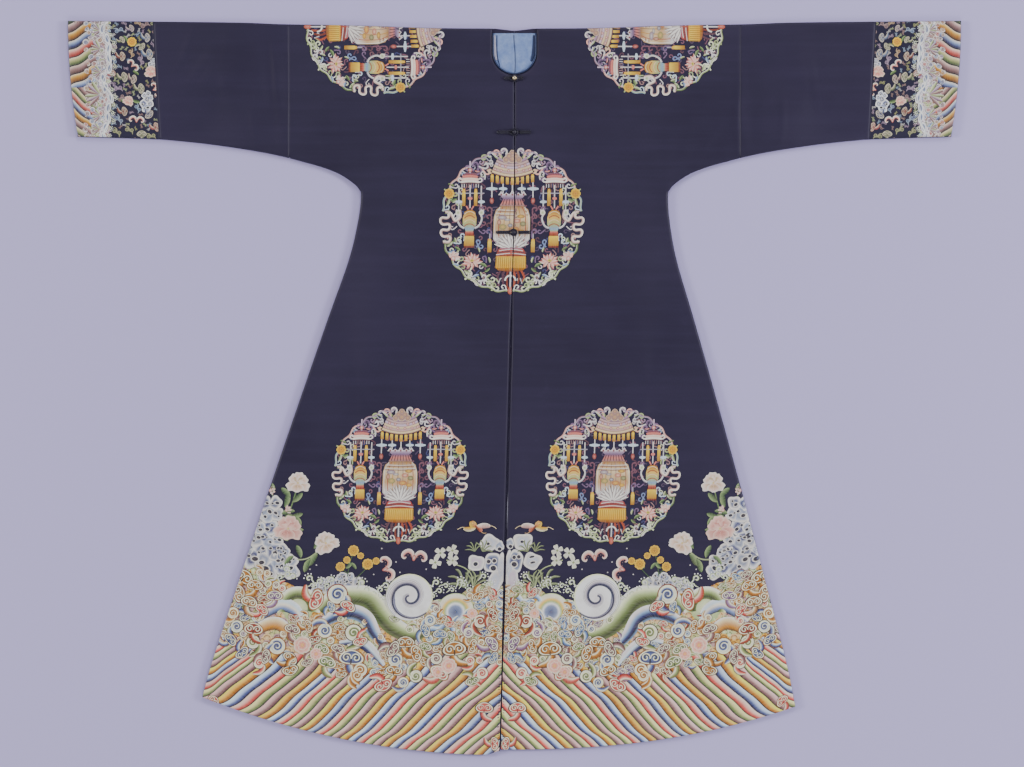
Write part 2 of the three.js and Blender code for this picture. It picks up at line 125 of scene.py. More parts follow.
def smooth(t):
    t = np.clip(t, 0, 1)
    return t * t * (3 - 2 * t)


def spline(points, count, closed=False):
    """Points along a Catmull-Rom curve through these, even in the curve's own measure."""
    p = np.asarray(points, float)
    if closed:
        p = np.vstack([p[-1], p, p[0], p[1]])
    else:
        p = np.vstack([2 * p[0] - p[1], p, 2 * p[-1] - p[-2]])
    spans = len(p) - 3
    t = np.linspace(0, spans, count, endpoint=not closed)
    i = np.minimum(t.astype(int), spans - 1)
    f = (t - i)[:, None]
    a, b, c, d = p[i], p[i + 1], p[i + 2], p[i + 3]
    return 0.5 * (
        2 * b + (c - a) * f + (2 * a - 5 * b + 4 * c - d) * f**2 + (3 * b - a - 3 * c + d) * f**3
    )


body_line = spline(BODY_EDGE, 400)
top_line = spline(TOP_EDGE, 120)
under_line = spline(UNDER_EDGE, 160)


def edge_across(up):
    return np.interp(up, body_line[:, 0], body_line[:, 1])


def top_up(across):
    return np.interp(across, top_line[:, 0], top_line[:, 1])


def under_up(across):
    """The underside of the sleeve, also where the body panel carries it."""
    body = body_line[body_line[:, 0] >= 380]
    near = np.interp(across, body[:, 1], body[:, 0])
    far = np.interp(across, under_line[:, 0], under_line[:, 1])
    return np.where(np.asarray(across) < 420, near, far)


def lean_at(up, across=0.0):
    return -LEAN * np.maximum(0, LEAN_FROM_Y - up) * (1 + LEAN_SPREAD * across)


def hem_curve(side, across):
    corner, drop, power, _ = HEM[side]
    return corner - drop * (1 - (across / edge_across(corner)) ** power)


def turned_up(side, across):
    return HEM[side][3] * np.exp(-((across / TURN_UP_WIDTH) ** 2))


def hem_up(side, across):
    return hem_curve(side, np.abs(across)) + turned_up(side, across)


def cuff_end(share):
    return CUFF_END_BOTTOM + (CUFF_END_TOP - CUFF_END_BOTTOM) * share * (2 - share)


def slit_half(up):
    parting = smooth((OPEN_FROM_Y - up) / (OPEN_FROM_Y - OPEN_AT_Y))
    parting = parting * (1 - NARROWING * smooth((NARROW_FROM_Y - up) / NARROW_RUN))
    return CLOSED_HALF_GAP + (OPEN_HALF_GAP - CLOSED_HALF_GAP) * parting


def cuff_seam(share):
    return CUFF_SEAM + CUFF_SEAM_SLANT * (share - 0.5) * 2


def sleeve_share(across, up):
    low = under_up(across)
    return (up - low) / (top_up(across) - low)


def inside(side, across, up):
    """How far a place on the upper face lies in from the garment's nearest edge."""
    side_edge = np.where(up < BODY_TOP_Y, (edge_across(up) - across) * SIDE_SLANT, FAR)
    on_sleeve = (across > SLEEVE_FROM_X) & (up > SLEEVE_FROM_Y)
    lower = np.where(on_sleeve, (up - under_up(across)) * SLEEVE_SLANT, FAR)
    hem = np.where(up < 0, (up - hem_up(side, across)) * HEM_SLANT, FAR)
    share = np.clip(sleeve_share(across, up), 0, 1)
    end = cuff_end(share) - across
    neck = np.hypot(across, np.minimum(0, up - NECK_CENTRE_Y)) - NECK_HALF_WIDTH
    slit = np.where(up < NECK_BOTTOM_Y, across - slit_half(up), FAR)
    return np.minimum.reduce([
        side_edge, lower, hem, end, np.maximum(neck, 0), slit, top_up(across) - up,
    ])


def relief(side, across, up):
    """Height of folds, creases and seams above plain cloth."""
    z = 0.35 * np.sin(across / 47 + up / 120) * np.sin(up / 63 - across / 180 + side)
    for fold_side, a0, u0, a1, u1, width, height in FOLDS + CREASES:
        if fold_side != side:
            continue
        run = np.array([a1 - a0, u1 - u0], float)
        along = ((across - a0) * run[0] + (up - u0) * run[1]) / (run @ run)
        near = np.clip(along, 0, 1)
        bend = 0.35 * width * np.sin(near * 5 + a0)
        away = np.hypot(across - a0 - run[0] * near - bend, up - u0 - run[1] * near)
        fade = np.sin(math.pi * (0.12 + 0.76 * near))
        z = z + height * fade * np.exp(-((away / width) ** 2))
    share = np.clip(sleeve_share(across, up), 0, 1)
    at_sleeve = smooth((up - 430) / 12)
    for seam, deep in ((SLEEVE_SEAM, 0.3), (cuff_seam(share), 0.8)):
        z = z - deep * at_sleeve * np.exp(-(((across - seam) / 1.8) ** 2))
        z = z + 0.2 * deep * at_sleeve * np.exp(-(((np.abs(across - seam) - 6) / 4) ** 2))
    return z


def cloth_z(side, across, up):
    inset = inside(side, across, up)
    left = 1 - np.clip(inset / RIM, 0, 1)
    plump = np.sqrt(1 - left * left)
    rise = TOP_Z - MID_Z - EDGE_RISE
    return MID_Z + EDGE_RISE + rise * plump + relief(side, across, up) * plump


def to_xy(side, across, up):
    return side * across + lean_at(up, across), up


# --- Meshes and materials -----------------------------------------------------------------------


def srgb(*rgb):
    """Linear colour from 0-255 display numbers."""
    c = np.asarray(rgb, float) / 255
    return np.where(c <= 0.04045, c / 12.92, ((c + 0.055) / 1.055) ** 2.4)


def mesh_object(name, points, faces, material):
    """An object from points in millimetres and an array of quads or triangles."""
    mesh = bpy.data.meshes.new(name)
    points, faces = np.asarray(points, np.float32), np.asarray(faces, np.int32)
    width = faces.shape[1]
    mesh.vertices.add(len(points))
    mesh.vertices.foreach_set("co", (points * MM).ravel())
    mesh.loops.add(faces.size)
    mesh.loops.foreach_set("vertex_index", faces.ravel())
    mesh.polygons.add(len(faces))
    mesh.polygons.foreach_set("loop_start", np.arange(0, faces.size, width, dtype=np.int32))
    mesh.polygons.foreach_set("loop_total", np.full(len(faces), width, np.int32))
    mesh.update(calc_edges=True)
    mesh.validate()
    mesh.polygons.foreach_set("use_smooth", np.full(len(mesh.polygons), True))
    mesh.materials.append(material)
    made = bpy.data.objects.new(name, mesh)
    bpy.context.scene.collection.objects.link(made)
    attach(made, "root")
    return made


def run_along(path):
    return np.concatenate([[0], np.cumsum(np.linalg.norm(np.diff(path, axis=0), axis=1))])


def quads(index):
    """The quads of a grid of vertex numbers, counter-clockwise for rows up, columns right."""
    a, b, c, d = index[:-1, :-1], index[:-1, 1:], index[1:, 1:], index[1:, :-1]
    return np.stack([a, b, c, d], -1).reshape(-1, 4)


def triangles(faces):
    return np.vstack([faces[:, [0, 1, 2]], faces[:, [0, 2, 3]]])


def slab(name, x, y, bottom, top, material):
    """A closed sheet over a grid of places, rows upwards and columns towards +X."""
    n = x.size
    upper = np.arange(n).reshape(x.shape)
    lower = upper + n
    points = np.vstack([
        np.stack([x, y, top], -1).reshape(-1, 3), np.stack([x, y, bottom], -1).reshape(-1, 3),
    ])
    rim = [
        quads(np.stack([lower[0], upper[0]])), quads(np.stack([upper[-1], lower[-1]])),
        quads(np.stack([lower[:, -1], upper[:, -1]])), quads(np.stack([upper[:, 0], lower[:, 0]])),
    ]
    faces = np.vstack([quads(upper), quads(lower)[:, ::-1], *rim])
    return mesh_object(name, points, faces, material)


class Nodes:
    """A material's node tree, with nodes made and linked in one line each."""

    def __init__(self, name):
        self.material = bpy.data.materials.new(name)
        self.material.use_nodes = True
        self.tree = self.material.node_tree
        self.shader = self.tree.nodes["Principled BSDF"]

    def add(self, kind, settings=None, **inputs):
        node = self.tree.nodes.new("ShaderNode" + kind)
        for key, value in (settings or {}).items():
            setattr(node, key, value)
        for key, value in inputs.items():
            self.set(node, key.replace("_", " "), value)
        return node

    def set(self, node, key, value):
        socket = node.inputs[int(key) if key.isdigit() else key]
        if isinstance(value, bpy.types.NodeSocket):
            self.tree.links.new(value, socket)
        else:
            socket.default_value = value

    def math(self, operation, a, b=0.0):
        node = self.add("Math", {"operation": operation})
        self.set(node, "0", a)
        self.set(node, "1", b)
        return node.outputs[0]

    def mix(self, factor, a, b, blend="MIX"):
        node = self.add("MixRGB", {"blend_type": blend})
        for key, value in zip(("Fac", "Color1", "Color2"), (factor, a, b), strict=True):
            if isinstance(value, tuple | np.ndarray):
                value = (*value, 1.0)
            self.set(node, key, value)
        return node.outputs[0]

    def noise(self, vector, scale, detail=3.0, rough=0.5):
        node = self.add("TexNoise", Vector=vector, Scale=scale, Detail=detail, Roughness=rough)
        return node.outputs["Fac"]

    def ramp(self, value, low, high, to_low=0.0, to_high=1.0):
        node = self.add("MapRange", Value=value)
        for key, number in zip(("1", "2", "3", "4"), (low, high, to_low, to_high), strict=True):
            self.set(node, key, number)
        return node.outputs[0]

    def fibres(self, vector, scale, detail, rough=0.5):
        """Noise drawn out by a different scale on each axis."""
        node = self.add("Mapping", Vector=vector, Scale=scale)
        return self.noise(node.outputs[0], 1.0, detail, rough)

    def tint(self, value, low, high, most, colour, other):
        """Mixes in another colour, up to a share, where a value runs from low to high."""
        return self.mix(self.ramp(value, low, high, 0.0, most), colour, other)

    def finish(self, colour, roughness, height, strength, distance, **fixed):
        self.set(self.shader, "Base Color", colour)
        self.set(self.shader, "Roughness", roughness)
        bump = self.add("Bump", Height=height, Strength=strength, Distance=distance)
        self.set(self.shader, "Normal", bump.outputs[0])
        for key, value in fixed.items():
            self.set(self.shader, key.replace("_", " "), value)
        return self.material


def satin_material(name, base, pale, sheen_tint):
    """Silk satin: fine floats along the warp, faint bars across it, and uneven lustre."""
    n = Nodes(name)
    place = n.add("TexCoord").outputs["Object"]
    warp = n.fibres(place, (2200, 160, 1), 2.0)
    weft = n.fibres(place, (30, 900, 1), 2.0)
    bars = n.fibres(place, (3, 55, 3), 4.0, 0.6)
    clouds = n.noise(place, 3.2, 5.0, 0.55)
    wear = n.noise(place, 26.0, 6.0, 0.7)
    colour = n.tint(clouds, 0.3, 0.7, 0.6, base, pale)
    colour = n.tint(bars, 0.42, 0.7, 0.4, colour, pale)
    colour = n.tint(wear, 0.62, 0.8, 0.25, colour, pale * 1.25)
    colour = n.tint(warp, 0.3, 0.7, 0.3, colour, base * 0.6)
    threads = n.math("ADD", warp, n.math("MULTIPLY", weft, 0.5))
    threads = n.math("ADD", threads, n.math("MULTIPLY", wear, 0.8))
    rough = n.ramp(clouds, 0.3, 0.7, 0.42, 0.56)
    return n.finish(
        colour, rough, threads, 0.35, 0.0002,
        Sheen_Weight=0.06, Sheen_Roughness=0.4, Sheen_Tint=(*sheen_tint, 1.0),
        Specular_IOR_Level=0.2, Anisotropic=0.4,
    )


def floss_material():
    """Silk floss in satin stitch: each shape's own colour, with threads along its UVs."""
    n = Nodes("silk_floss")
    stitches = n.add("UVMap", {"uv_map": "stitches"}).outputs[0]
    own = n.add("Attribute", {"attribute_name": "floss"}).outputs["Color"]
    thread = n.fibres(stitches, (0.16, 2.6, 1), 2.0)
    clump = n.fibres(stitches, (0.05, 0.55, 1), 3.0)
    place = n.add("TexCoord").outputs["Object"]
    age = n.noise(place, 40.0, 4.0, 0.6)
    colour = n.mix(n.ramp(thread, 0.3, 0.7, 0.0, 0.65), own, own, "MULTIPLY")
    colour = n.tint(clump, 0.35, 0.7, 0.12, colour, srgb(232, 222, 204))
    colour = n.tint(age, 0.45, 0.75, 0.2, colour, srgb(134, 112, 92))
    height = n.math("ADD", thread, n.math("MULTIPLY", clump, 0.6))
    rough = n.ramp(clump, 0.3, 0.7, 0.38, 0.55)
    return n.finish(
        colour, rough, height, 0.7, 0.00035,
        Sheen_Weight=0.05, Sheen_Roughness=0.35, Specular_IOR_Level=0.3,
    )


def plain_silk(name, base, pale, scale=1.0, sheen=0.3):
    """Lining, piping and cord: a tighter, plainer silk."""
    n = Nodes(name)
    place = n.add("TexCoord").outputs["Object"]
    ribs = n.fibres(place, (1500 * scale, 240 * scale, 400), 2.0)
    soft = n.noise(place, 60.0, 4.0, 0.6)
    colour = n.tint(soft, 0.3, 0.7, 0.7, base, pale)
    colour = n.tint(ribs, 0.35, 0.7, 0.35, colour, base * 0.75)
    height = n.math("ADD", ribs, soft)
    return n.finish(
        colour, n.ramp(ribs, 0.3, 0.7, 0.35, 0.55), height, 0.5, 0.0003,
        Sheen_Weight=sheen, Sheen_Roughness=0.4,
    )


def gilt_material():
    n = Nodes("worn_gilt")
    place = n.add("TexCoord").outputs["Object"]
    wear = n.noise(place, 500.0, 5.0, 0.6)
    colour = n.mix(n.ramp(wear, 0.4, 0.65), srgb(214, 190, 140), srgb(240, 228, 200))
    return n.finish(
        colour, n.ramp(wear, 0.3, 0.7, 0.25, 0.5), wear, 0.3, 0.0002, Metallic=1.0,
    )


SATIN = satin_material("stone_blue_satin", srgb(46, 41, 62), srgb(60, 54, 80), srgb(120, 112, 150))
CUFF_SATIN = satin_material("cuff_satin", srgb(40, 38, 58), srgb(54, 50, 74), srgb(110, 106, 140))
FLOSS = floss_material()
LINING = plain_silk("pale_blue_lining", srgb(104, 132, 190), srgb(166, 184, 224))
FACING = plain_silk("pale_facing", srgb(170, 168, 190), srgb(206, 204, 220))
# Dark blue silk for the neck binding and the lining's seam; the same silk also paints the shade inside
# the neck.
BINDING_AND_SHADE = plain_silk("dark_blue_binding", srgb(32, 44, 82), srgb(52, 68, 112), 1.0, 0.1)
CORD = plain_silk("dark_cord", srgb(24, 19, 40), srgb(38, 32, 58), 2.0, 0.05)
GILT = gilt_material()

# --- Shells of the cloth ------------------------------------------------------------------------

RIM_INSETS = [0, 0.35, 0.9, 1.7, 2.8, 4.1, RIM]


def grid_lines(count):
    """Grid lines across a panel: share of the way, and how far in from the nearer edge."""
    rows = [(0.0, inset) for inset in RIM_INSETS]
    rows += [(i / count, RIM) for i in range(1, count)]
    rows += [(1.0, inset) for inset in RIM_INSETS[::-1]]
    return np.array(rows)


def between(low, high, lines):
    share, inset = lines[:, 0], lines[:, 1]
    near = low + inset + (high - RIM - low - inset) * share
    far = low + RIM + (high - inset - low - RIM) * share
    return np.where(share < 0.5, near, far)


def body_grid(side, is_front):
    """Places of a body panel's grid: across and up."""
    corner, drop, power, _ = HEM[side]
    step = 10 if is_front else 16
    turn = np.linspace(0, math.pi / 2, 26 if is_front else 4)
    rows = np.concatenate([
        [corner + inset for inset in RIM_INSETS], np.arange(corner + 12, 366, step),
        np.arange(367, 441, 2.2),  # finer round the underarm
        np.arange(444, 596, 7), NECK_BOTTOM_Y + NECK_HALF_WIDTH * (1 - np.cos(turn)),
        np.arange(650, SHOULDER_Y - RIM - 2, 7), [SHOULDER_Y - inset for inset in RIM_INSETS[::-1]],
    ])
    lines = grid_lines(74 if is_front else 28)
    across, up = [], []
    for row in rows:
        outer = min(float(edge_across(row)), SLEEVE_SEAM) if row > 431 else float(edge_across(row))
        inner = 0.15
        if is_front and row >= NECK_BOTTOM_Y:
            rise = min(1.0, (row - NECK_BOTTOM_Y) / NECK_HALF_WIDTH)
            inner = max(CLOSED_HALF_GAP, NECK_HALF_WIDTH * math.sqrt(1 - (1 - rise) ** 2))
        elif is_front:
            inner = float(slit_half(row))
        a = between(inner, outer, lines)
        share = np.clip((a - inner) / (outer - inner), 0, 1)
        down = np.clip((UNDERARM_Y - row) / (UNDERARM_Y - corner), 0, 1)
        lift = smooth((row - 560) / (SHOULDER_Y - 560))
        across.append(a)
        near_hem = turned_up(side, a) * smooth((corner + 90 - row) / 90)
        hem = drop * (1 - share**power) * down - near_hem
        up.append(row - hem + (top_up(a) - SHOULDER_Y) * lift)
    return np.array(across), np.array(up)


def body_shell(side, is_front):
    across, up = body_grid(side, is_front)
    if is_front:
        top = cloth_z(side, across, up)
        bottom = np.full_like(top, FRONT_Z)
    else:
        near_neck = (across < NECK_HALF_WIDTH) * smooth((up - SHOULDER_Y + 40) / 40)
        up = up - BACK_NECK_DIP * smooth(1 - across / NECK_HALF_WIDTH) * near_neck
        inset = inside(side, across, up)
        inset = np.where(up > 590, np.minimum(top_up(across) - up, 9.0), inset)
        inset = np.where(inset <= 0, 0, inset)
        left = 1 - np.clip(inset / RIM, 0, 1)
        top = np.full_like(across, WALL)
        bottom = (WALL - 1.2) * (1 - np.sqrt(1 - left * left))
    x, y = to_xy(side, across, up)
    order = slice(None) if side > 0 else slice(None, None, -1)
    name = ("front" if is_front else "back") + "_" + NAMES[side]
    made = slab(
        "satin_" + name, x[:, order], y[:, order], bottom[:, order], top[:, order], SATIN,
    )
    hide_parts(name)
    return made


def ring_of(x, y, upper, lower):
    """Points round a flat tube: along its upper side and back along its lower one."""
    back = np.stack([x, y, lower], -1)[:, -2:0:-1]
    return np.concatenate([np.stack([x, y, upper], -1), back], 1)


def sleeve_shell(side, kind):
    """A sleeve length or cuff band: a flattened tube with a slit inside."""
    n_along, n_up = (58, 42) if kind == "sleeve" else (38, 42)
    lines = grid_lines(n_up - 1)
    rows = lines[:, 0]
    t = np.linspace(0, 1, n_along)
    if kind == "sleeve":
        start, end = np.full_like(rows, SLEEVE_SEAM), cuff_seam(rows)
    else:  # the cuff's open end is rounded as well
        start, end = cuff_seam(rows), cuff_end(rows)
        rim = np.array(RIM_INSETS[::-1]) / CUFF_LENGTH
        t = np.concatenate([t[:-1] * (1 - RIM / CUFF_LENGTH), 1 - rim])
    a = start[None] + (end - start)[None] * t[:, None]
    low, high = under_up(a), top_up(a)
    up = between(low, high, lines)
    upper = cloth_z(side, a, up)
    rounding = 1 - np.clip(np.minimum(up - low, high - up) / RIM, 0, 1)
    lower = (MID_Z - 0.6) * (1 - np.sqrt(1 - rounding**2))
    x, y = to_xy(side, a, up)
    outer = ring_of(x, y, upper, lower)
    gap = np.clip(0.15 + 0.25 * smooth((a - 800) / 50), 0, 0.5)
    slot = ring_of(x, np.clip(up, low + RIM + 2, high - RIM - 2), MID_Z + gap, MID_Z - gap)
    n = outer.shape[0] * outer.shape[1]
    o = np.arange(n).reshape(outer.shape[:2])
    o = np.concatenate([o, o[:, :1]], 1)
    s = o + n
    faces = np.vstack([
        quads(o)[:, ::-1], quads(s), quads(np.stack([o[0], s[0]])), quads(np.stack([s[-1], o[-1]])),
    ])
    if side < 0:
        faces = faces[:, ::-1]
    points = np.vstack([outer.reshape(-1, 3), slot.reshape(-1, 3)])
    name = kind + "_" + NAMES[side]
    material, slot_name = (SATIN, "satin") if kind == "sleeve" else (CUFF_SATIN, "cuff_satin")
    made = mesh_object("satin_" + name, points, faces, material)
    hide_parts(name)
    return made


# --- Needlework ---------------------------------------------------------------------------------

EMBROIDERY_Z = 0.3  # the lowest stitches above the cloth
LAYER_Z = 0.11  # one layer of stitches over another
PIECE_Z = 0.0011  # neighbouring shapes of one layer, so that none share a height
PATCH_THREADS = 0.8  # the direction of the threads in a filled shape


def turning(corners):
    """Twice the area of each triangle as seen from above, below 0 if it turns clockwise."""
    e = corners[:, 1, :2] - corners[:, 0, :2]
    f = corners[:, 2, :2] - corners[:, 0, :2]
    return e[:, 0] * f[:, 1] - e[:, 1] * f[:, 0]


class Hoop:
    """Shapes of stitches in a local frame, gathered as triangles. Each corner holds its place,
    height, colour, and place along and across the threads."""

    def __init__(self, store=None, matrix=None, size=1.0):
        self.store = [] if store is None else store
        self.matrix = np.eye(3) if matrix is None else matrix
        self.size = size

    def at(self, x, y, turn=0.0, size=1.0, flip=1):
        c, s = math.cos(turn) * size, math.sin(turn) * size
        move = np.array([[c * flip, -s, x], [s * flip, c, y], [0, 0, 1]])
        return Hoop(self.store, self.matrix @ move, self.size * size)

    def around(self, reach, angle, turn, size, flip=1):
        """A smaller frame on a circle about this one's middle."""
        return self.at(reach * math.cos(angle), reach * math.sin(angle), turn, size, flip)

    def grid(self, x, y, height, colour, u, v, layer):
        """A grid of stitches: rows by columns of places in the local frame."""
        shape = np.shape(x)
        x, y, height, u, v = (np.broadcast_to(a, shape).ravel() for a in (x, y, height, u, v))
        place = self.matrix[:2, :2] @ np.stack([x, y]) + self.matrix[:2, 2:]
        lift = EMBROIDERY_Z + LAYER_Z * layer + PIECE_Z * (len(self.store) % 37)
        colour = np.broadcast_to(colour, (*shape, 3)).reshape(-1, 3)
        rows = np.column_stack([*place, height + lift, colour, u * self.size, v * self.size])
        t = rows[triangles(quads(np.arange(x.size).reshape(shape)))]
        turn = turning(t)
        t, turn = t[np.abs(turn) > 1e-7], turn[np.abs(turn) > 1e-7]
        t[turn < 0] = t[turn < 0][:, ::-1]
        self.store.append(t)

    def ribbon(self, path, width, tones, layer=1, dome=0.12, slant=0.35):
        """A band of stitches along a path. tones run across it, from its left side."""
        path = np.asarray(path, float)
        heading = np.gradient(path, axis=0)
        heading /= np.maximum(np.linalg.norm(heading, axis=1), 1e-9)[:, None]
        normal = np.column_stack([-heading[:, 1], heading[:, 0]])
        run = run_along(path)
        tones = np.atleast_2d(tones)
        columns = 3 if len(tones) == 1 else len(tones)
        t = np.linspace(0.5, -0.5, columns)
        width = np.broadcast_to(width, len(path))[:, None]
        x = path[:, :1] + normal[:, :1] * t * width
        y = path[:, 1:] + normal[:, 1:] * t * width
        colour = np.broadcast_to(tones if len(tones) > 1 else tones[0], (len(path), columns, 3))
        height = dome * (1 - (2 * t) ** 2) * np.ones((len(path), 1))
        across = t * width
        self.grid(x, y, height, colour, across, run[:, None] + across * slant, layer)

    def patch(self, outline, tones, layer=1, centre=None, dome=0.15, rings=None):
        """A filled shape, seen whole from its centre. tones run from the rim inwards."""
        outline = np.asarray(outline, float)
        centre = outline.mean(0) if centre is None else np.asarray(centre, float)
        tones = np.atleast_2d(tones)
        rings = np.linspace(1, 0.02, max(len(tones), 2)) if rings is None else np.asarray(rings)
        tones = tones if len(tones) > 1 else np.repeat(tones, len(rings), 0)
        closed = np.vstack([outline, outline[:1]])
        x = centre[0] + rings[:, None] * (closed[:, 0] - centre[0])
        y = centre[1] + rings[:, None] * (closed[:, 1] - centre[1])
        height = dome * (1 - rings[:, None] ** 2) * np.ones(len(closed))
        c, s = math.cos(PATCH_THREADS), math.sin(PATCH_THREADS)
        self.grid(x, y, height, tones[:, None], x * c + y * s, y * c - x * s, layer)

    def panel(self, rows, tones, layer=1, columns=5, dome=0.1):
        """A shape that is symmetric about x = 0, from rows of (y, half width), top to bottom."""
        rows = np.asarray(rows, float)
        tones = np.atleast_2d(tones)
        place = np.linspace(0, len(tones) - 1, len(rows))
        ramp = np.stack([np.interp(place, range(len(tones)), tones[:, k]) for k in range(3)], -1)
        t = np.linspace(-1, 1, columns)
        x = rows[:, 1:] * t
        y = rows[:, :1] + 0 * t
        height = dome * (1 - t**2) * np.ones((len(rows), 1))
        self.grid(x, y, height, ramp[:, None], y, x, layer)

    def sweep(self, points, count, width, tones, layer=1, dome=0.12):
        """A ribbon along a smooth curve through a few points."""
        self.ribbon(spline(points, count), width, tones, layer, dome)

    def dot(self, x, y, radius, tones, layer, count=8, squash=1.0, rings=None):
        """A small disc."""
        self.patch(circle(radius, count, squash) + (x, y), tones, layer, rings=rings)

    def keep(self, field):
        """Cuts away all stitches where field(x, y) is below 0."""
        kept = []
        for t in self.store:
            value = field(t[:, :, 0], t[:, :, 1])
            good = value > 0
            count = good.sum(1)
            kept.append(t[count == 3])
            for k in (1, 2):
                part, val, ok = t[count == k], value[count == k], good[count == k]
                if not len(part):
                    continue
                lone = np.argmax(ok, 1) if k == 1 else np.argmin(ok, 1)
                index = (lone[:, None] + np.arange(3)) % 3
                pick = np.arange(len(part))[:, None]
                p, f = part[pick, index], val[pick, index]
                cut1 = (f[:, 0] / (f[:, 0] - f[:, 1]))[:, None]
                cut2 = (f[:, 0] / (f[:, 0] - f[:, 2]))[:, None]
                a = p[:, 0] + (p[:, 1] - p[:, 0]) * cut1
                b = p[:, 0] + (p[:, 2] - p[:, 0]) * cut2
                if k == 1:
                    kept.append(np.stack([p[:, 0], a, b], 1))
                else:
                    kept.append(np.stack([a, p[:, 1], p[:, 2]], 1))
                    kept.append(np.stack([a, p[:, 2], b], 1))
        self.store[:] = [t for t in kept if len(t)]

    def lay(self, name, side, contrast=1.0):
        """Lays the stitches on one side of the garment as a mesh. They are drawn with x = 0 on the
        centre line, which leans below the chest."""
        corners = np.vstack(self.store).reshape(-1, 8)
        rows, index = np.unique(np.round(corners, 4), axis=0, return_inverse=True)
        faces = index.reshape(-1, 3)
        faces = faces[np.abs(turning(rows[faces])) > 1e-4]
        used, faces = np.unique(faces, return_inverse=True)
        rows, faces = rows[used], faces.reshape(-1, 3)
        up = rows[:, 1]
        z = cloth_z(side, side * rows[:, 0], up) + rows[:, 2]
        x = rows[:, 0] + lean_at(up, np.abs(rows[:, 0]))
        points = np.column_stack([x, up, z])
        made = mesh_object(name, points, faces, FLOSS)
        floss = made.data.color_attributes.new("floss", "FLOAT_COLOR", "POINT")
        threads = np.minimum(0.4 * (np.maximum(rows[:, 3:6], 1e-3) / 0.4) ** contrast, 0.95)
        colour = np.column_stack([threads, np.ones(len(rows))]).astype(np.float32)
        floss.data.foreach_set("color", colour.ravel())
        layer = made.data.uv_layers.new(name="stitches")
        corner = np.zeros(len(made.data.loops), np.int32)
        made.data.loops.foreach_get("vertex_index", corner)
        layer.uv.foreach_set("vector", rows[corner][:, 6:8].astype(np.float32).ravel())
        return made


# --- Threads ------------------------------------------------------------------------------------


def floss(*tones):
    """One colour of floss: four tones from pale to deep."""
    return np.array([srgb(*tone) for tone in tones])


GOLD = floss((232, 202, 118), (206, 156, 54), (168, 116, 34), (94, 62, 34))
BLUE = floss((198, 208, 226), (142, 160, 198), (64, 72, 132), (30, 32, 78))
PINK = floss((236, 196, 186), (222, 146, 136), (194, 84, 80), (146, 52, 58))
GREEN = floss((218, 212, 170), (184, 188, 134), (118, 138, 90), (58, 84, 58))
MAUVE = floss((212, 186, 184), (176, 142, 142), (134, 98, 104), (84, 56, 68))
LILAC = floss((216, 198, 214), (184, 158, 184), (142, 114, 152), (88, 66, 108))
SKY = floss((210, 222, 232), (154, 180, 208), (96, 126, 170), (46, 66, 114))
SAGE = floss((226, 230, 204), (186, 198, 152), (130, 146, 94), (74, 90, 56))
BEIGE = floss((232, 214, 180), (212, 180, 136), (172, 132, 92), (112, 78, 56))
WHITE = floss((240, 236, 230), (222, 218, 218), (184, 180, 192), (128, 122, 144))
PLUM = floss((142, 92, 116), (106, 56, 86), (74, 34, 62), (46, 20, 44))
YELLOW = floss((246, 214, 88), (234, 188, 42), (194, 142, 28), (120, 76, 26))
RUST = floss((218, 134, 94), (188, 90, 56), (146, 58, 42), (92, 34, 30))
LEAF = floss((168, 188, 134), (112, 142, 92), (66, 100, 64), (34, 62, 48))
PEONY = floss((246, 222, 210), (238, 192, 180), (220, 146, 138), (186, 92, 96))
ROCK = floss((208, 212, 224), (156, 166, 190), (106, 118, 154), (66, 74, 110))
NIGHT = srgb(30, 27, 46)
CREAM = srgb(238, 228, 210)
STRIPES = [GREEN, PINK, BLUE, GOLD, MAUVE]
CLOUD_SETS = [BLUE, PINK, GREEN, GOLD, MAUVE, SKY, LILAC, BEIGE, RUST]


def polar(reach, angle):
    return np.column_stack([reach * np.cos(angle), reach * np.sin(angle)])


def circle(radius, count, squash=1.0):
    t = TAU * np.arange(count) / count
    return np.column_stack([radius * np.cos(t), radius * squash * np.sin(t)])


def arc(x, y, radius, start, sweep, count):
    t = start + sweep * np.linspace(0, 1, count)
    return polar(radius, t) + (x, y)


def spiral(outer, inner, turns, start, count):
    t = np.linspace(0, 1, count)
    return polar(outer + (inner - outer) * t, start + TAU * turns * t)


def taper(count, full, tip=0.15):
    t = np.linspace(0, 1, count)
    return full * (tip + (1 - tip) * np.sin(math.pi * t) ** 0.6)


# --- Motifs, each about 2 units across unless it says otherwise ----------------------------------


def curl(h, tones, edge, layer, tail, rim=CREAM):
    """One cloud curl: a disc wound with a pale and dark line, and a banded tail if it has one."""
    if tail:
        h.sweep([(0.5, 0.1), (0.85, -0.7), (0.4, -1.5), (-0.6, -1.9)], 12, taper(12, 0.9, 0.25),
                [edge, rim, tones[1], tones[2], edge], layer - 0.5)
    h.patch(circle(1.0, 18), [edge, edge, rim, rim, tones[2]], layer,
            rings=[1, 0.9, 0.89, 0.78, 0.02])
    path = spiral(0.66, 0.08, 1.75, 0.3, 30)
    h.ribbon(path, np.linspace(0.36, 0.26, 30), [tones[3], tones[2], tones[1], rim, rim],
             layer + 1, 0.08)


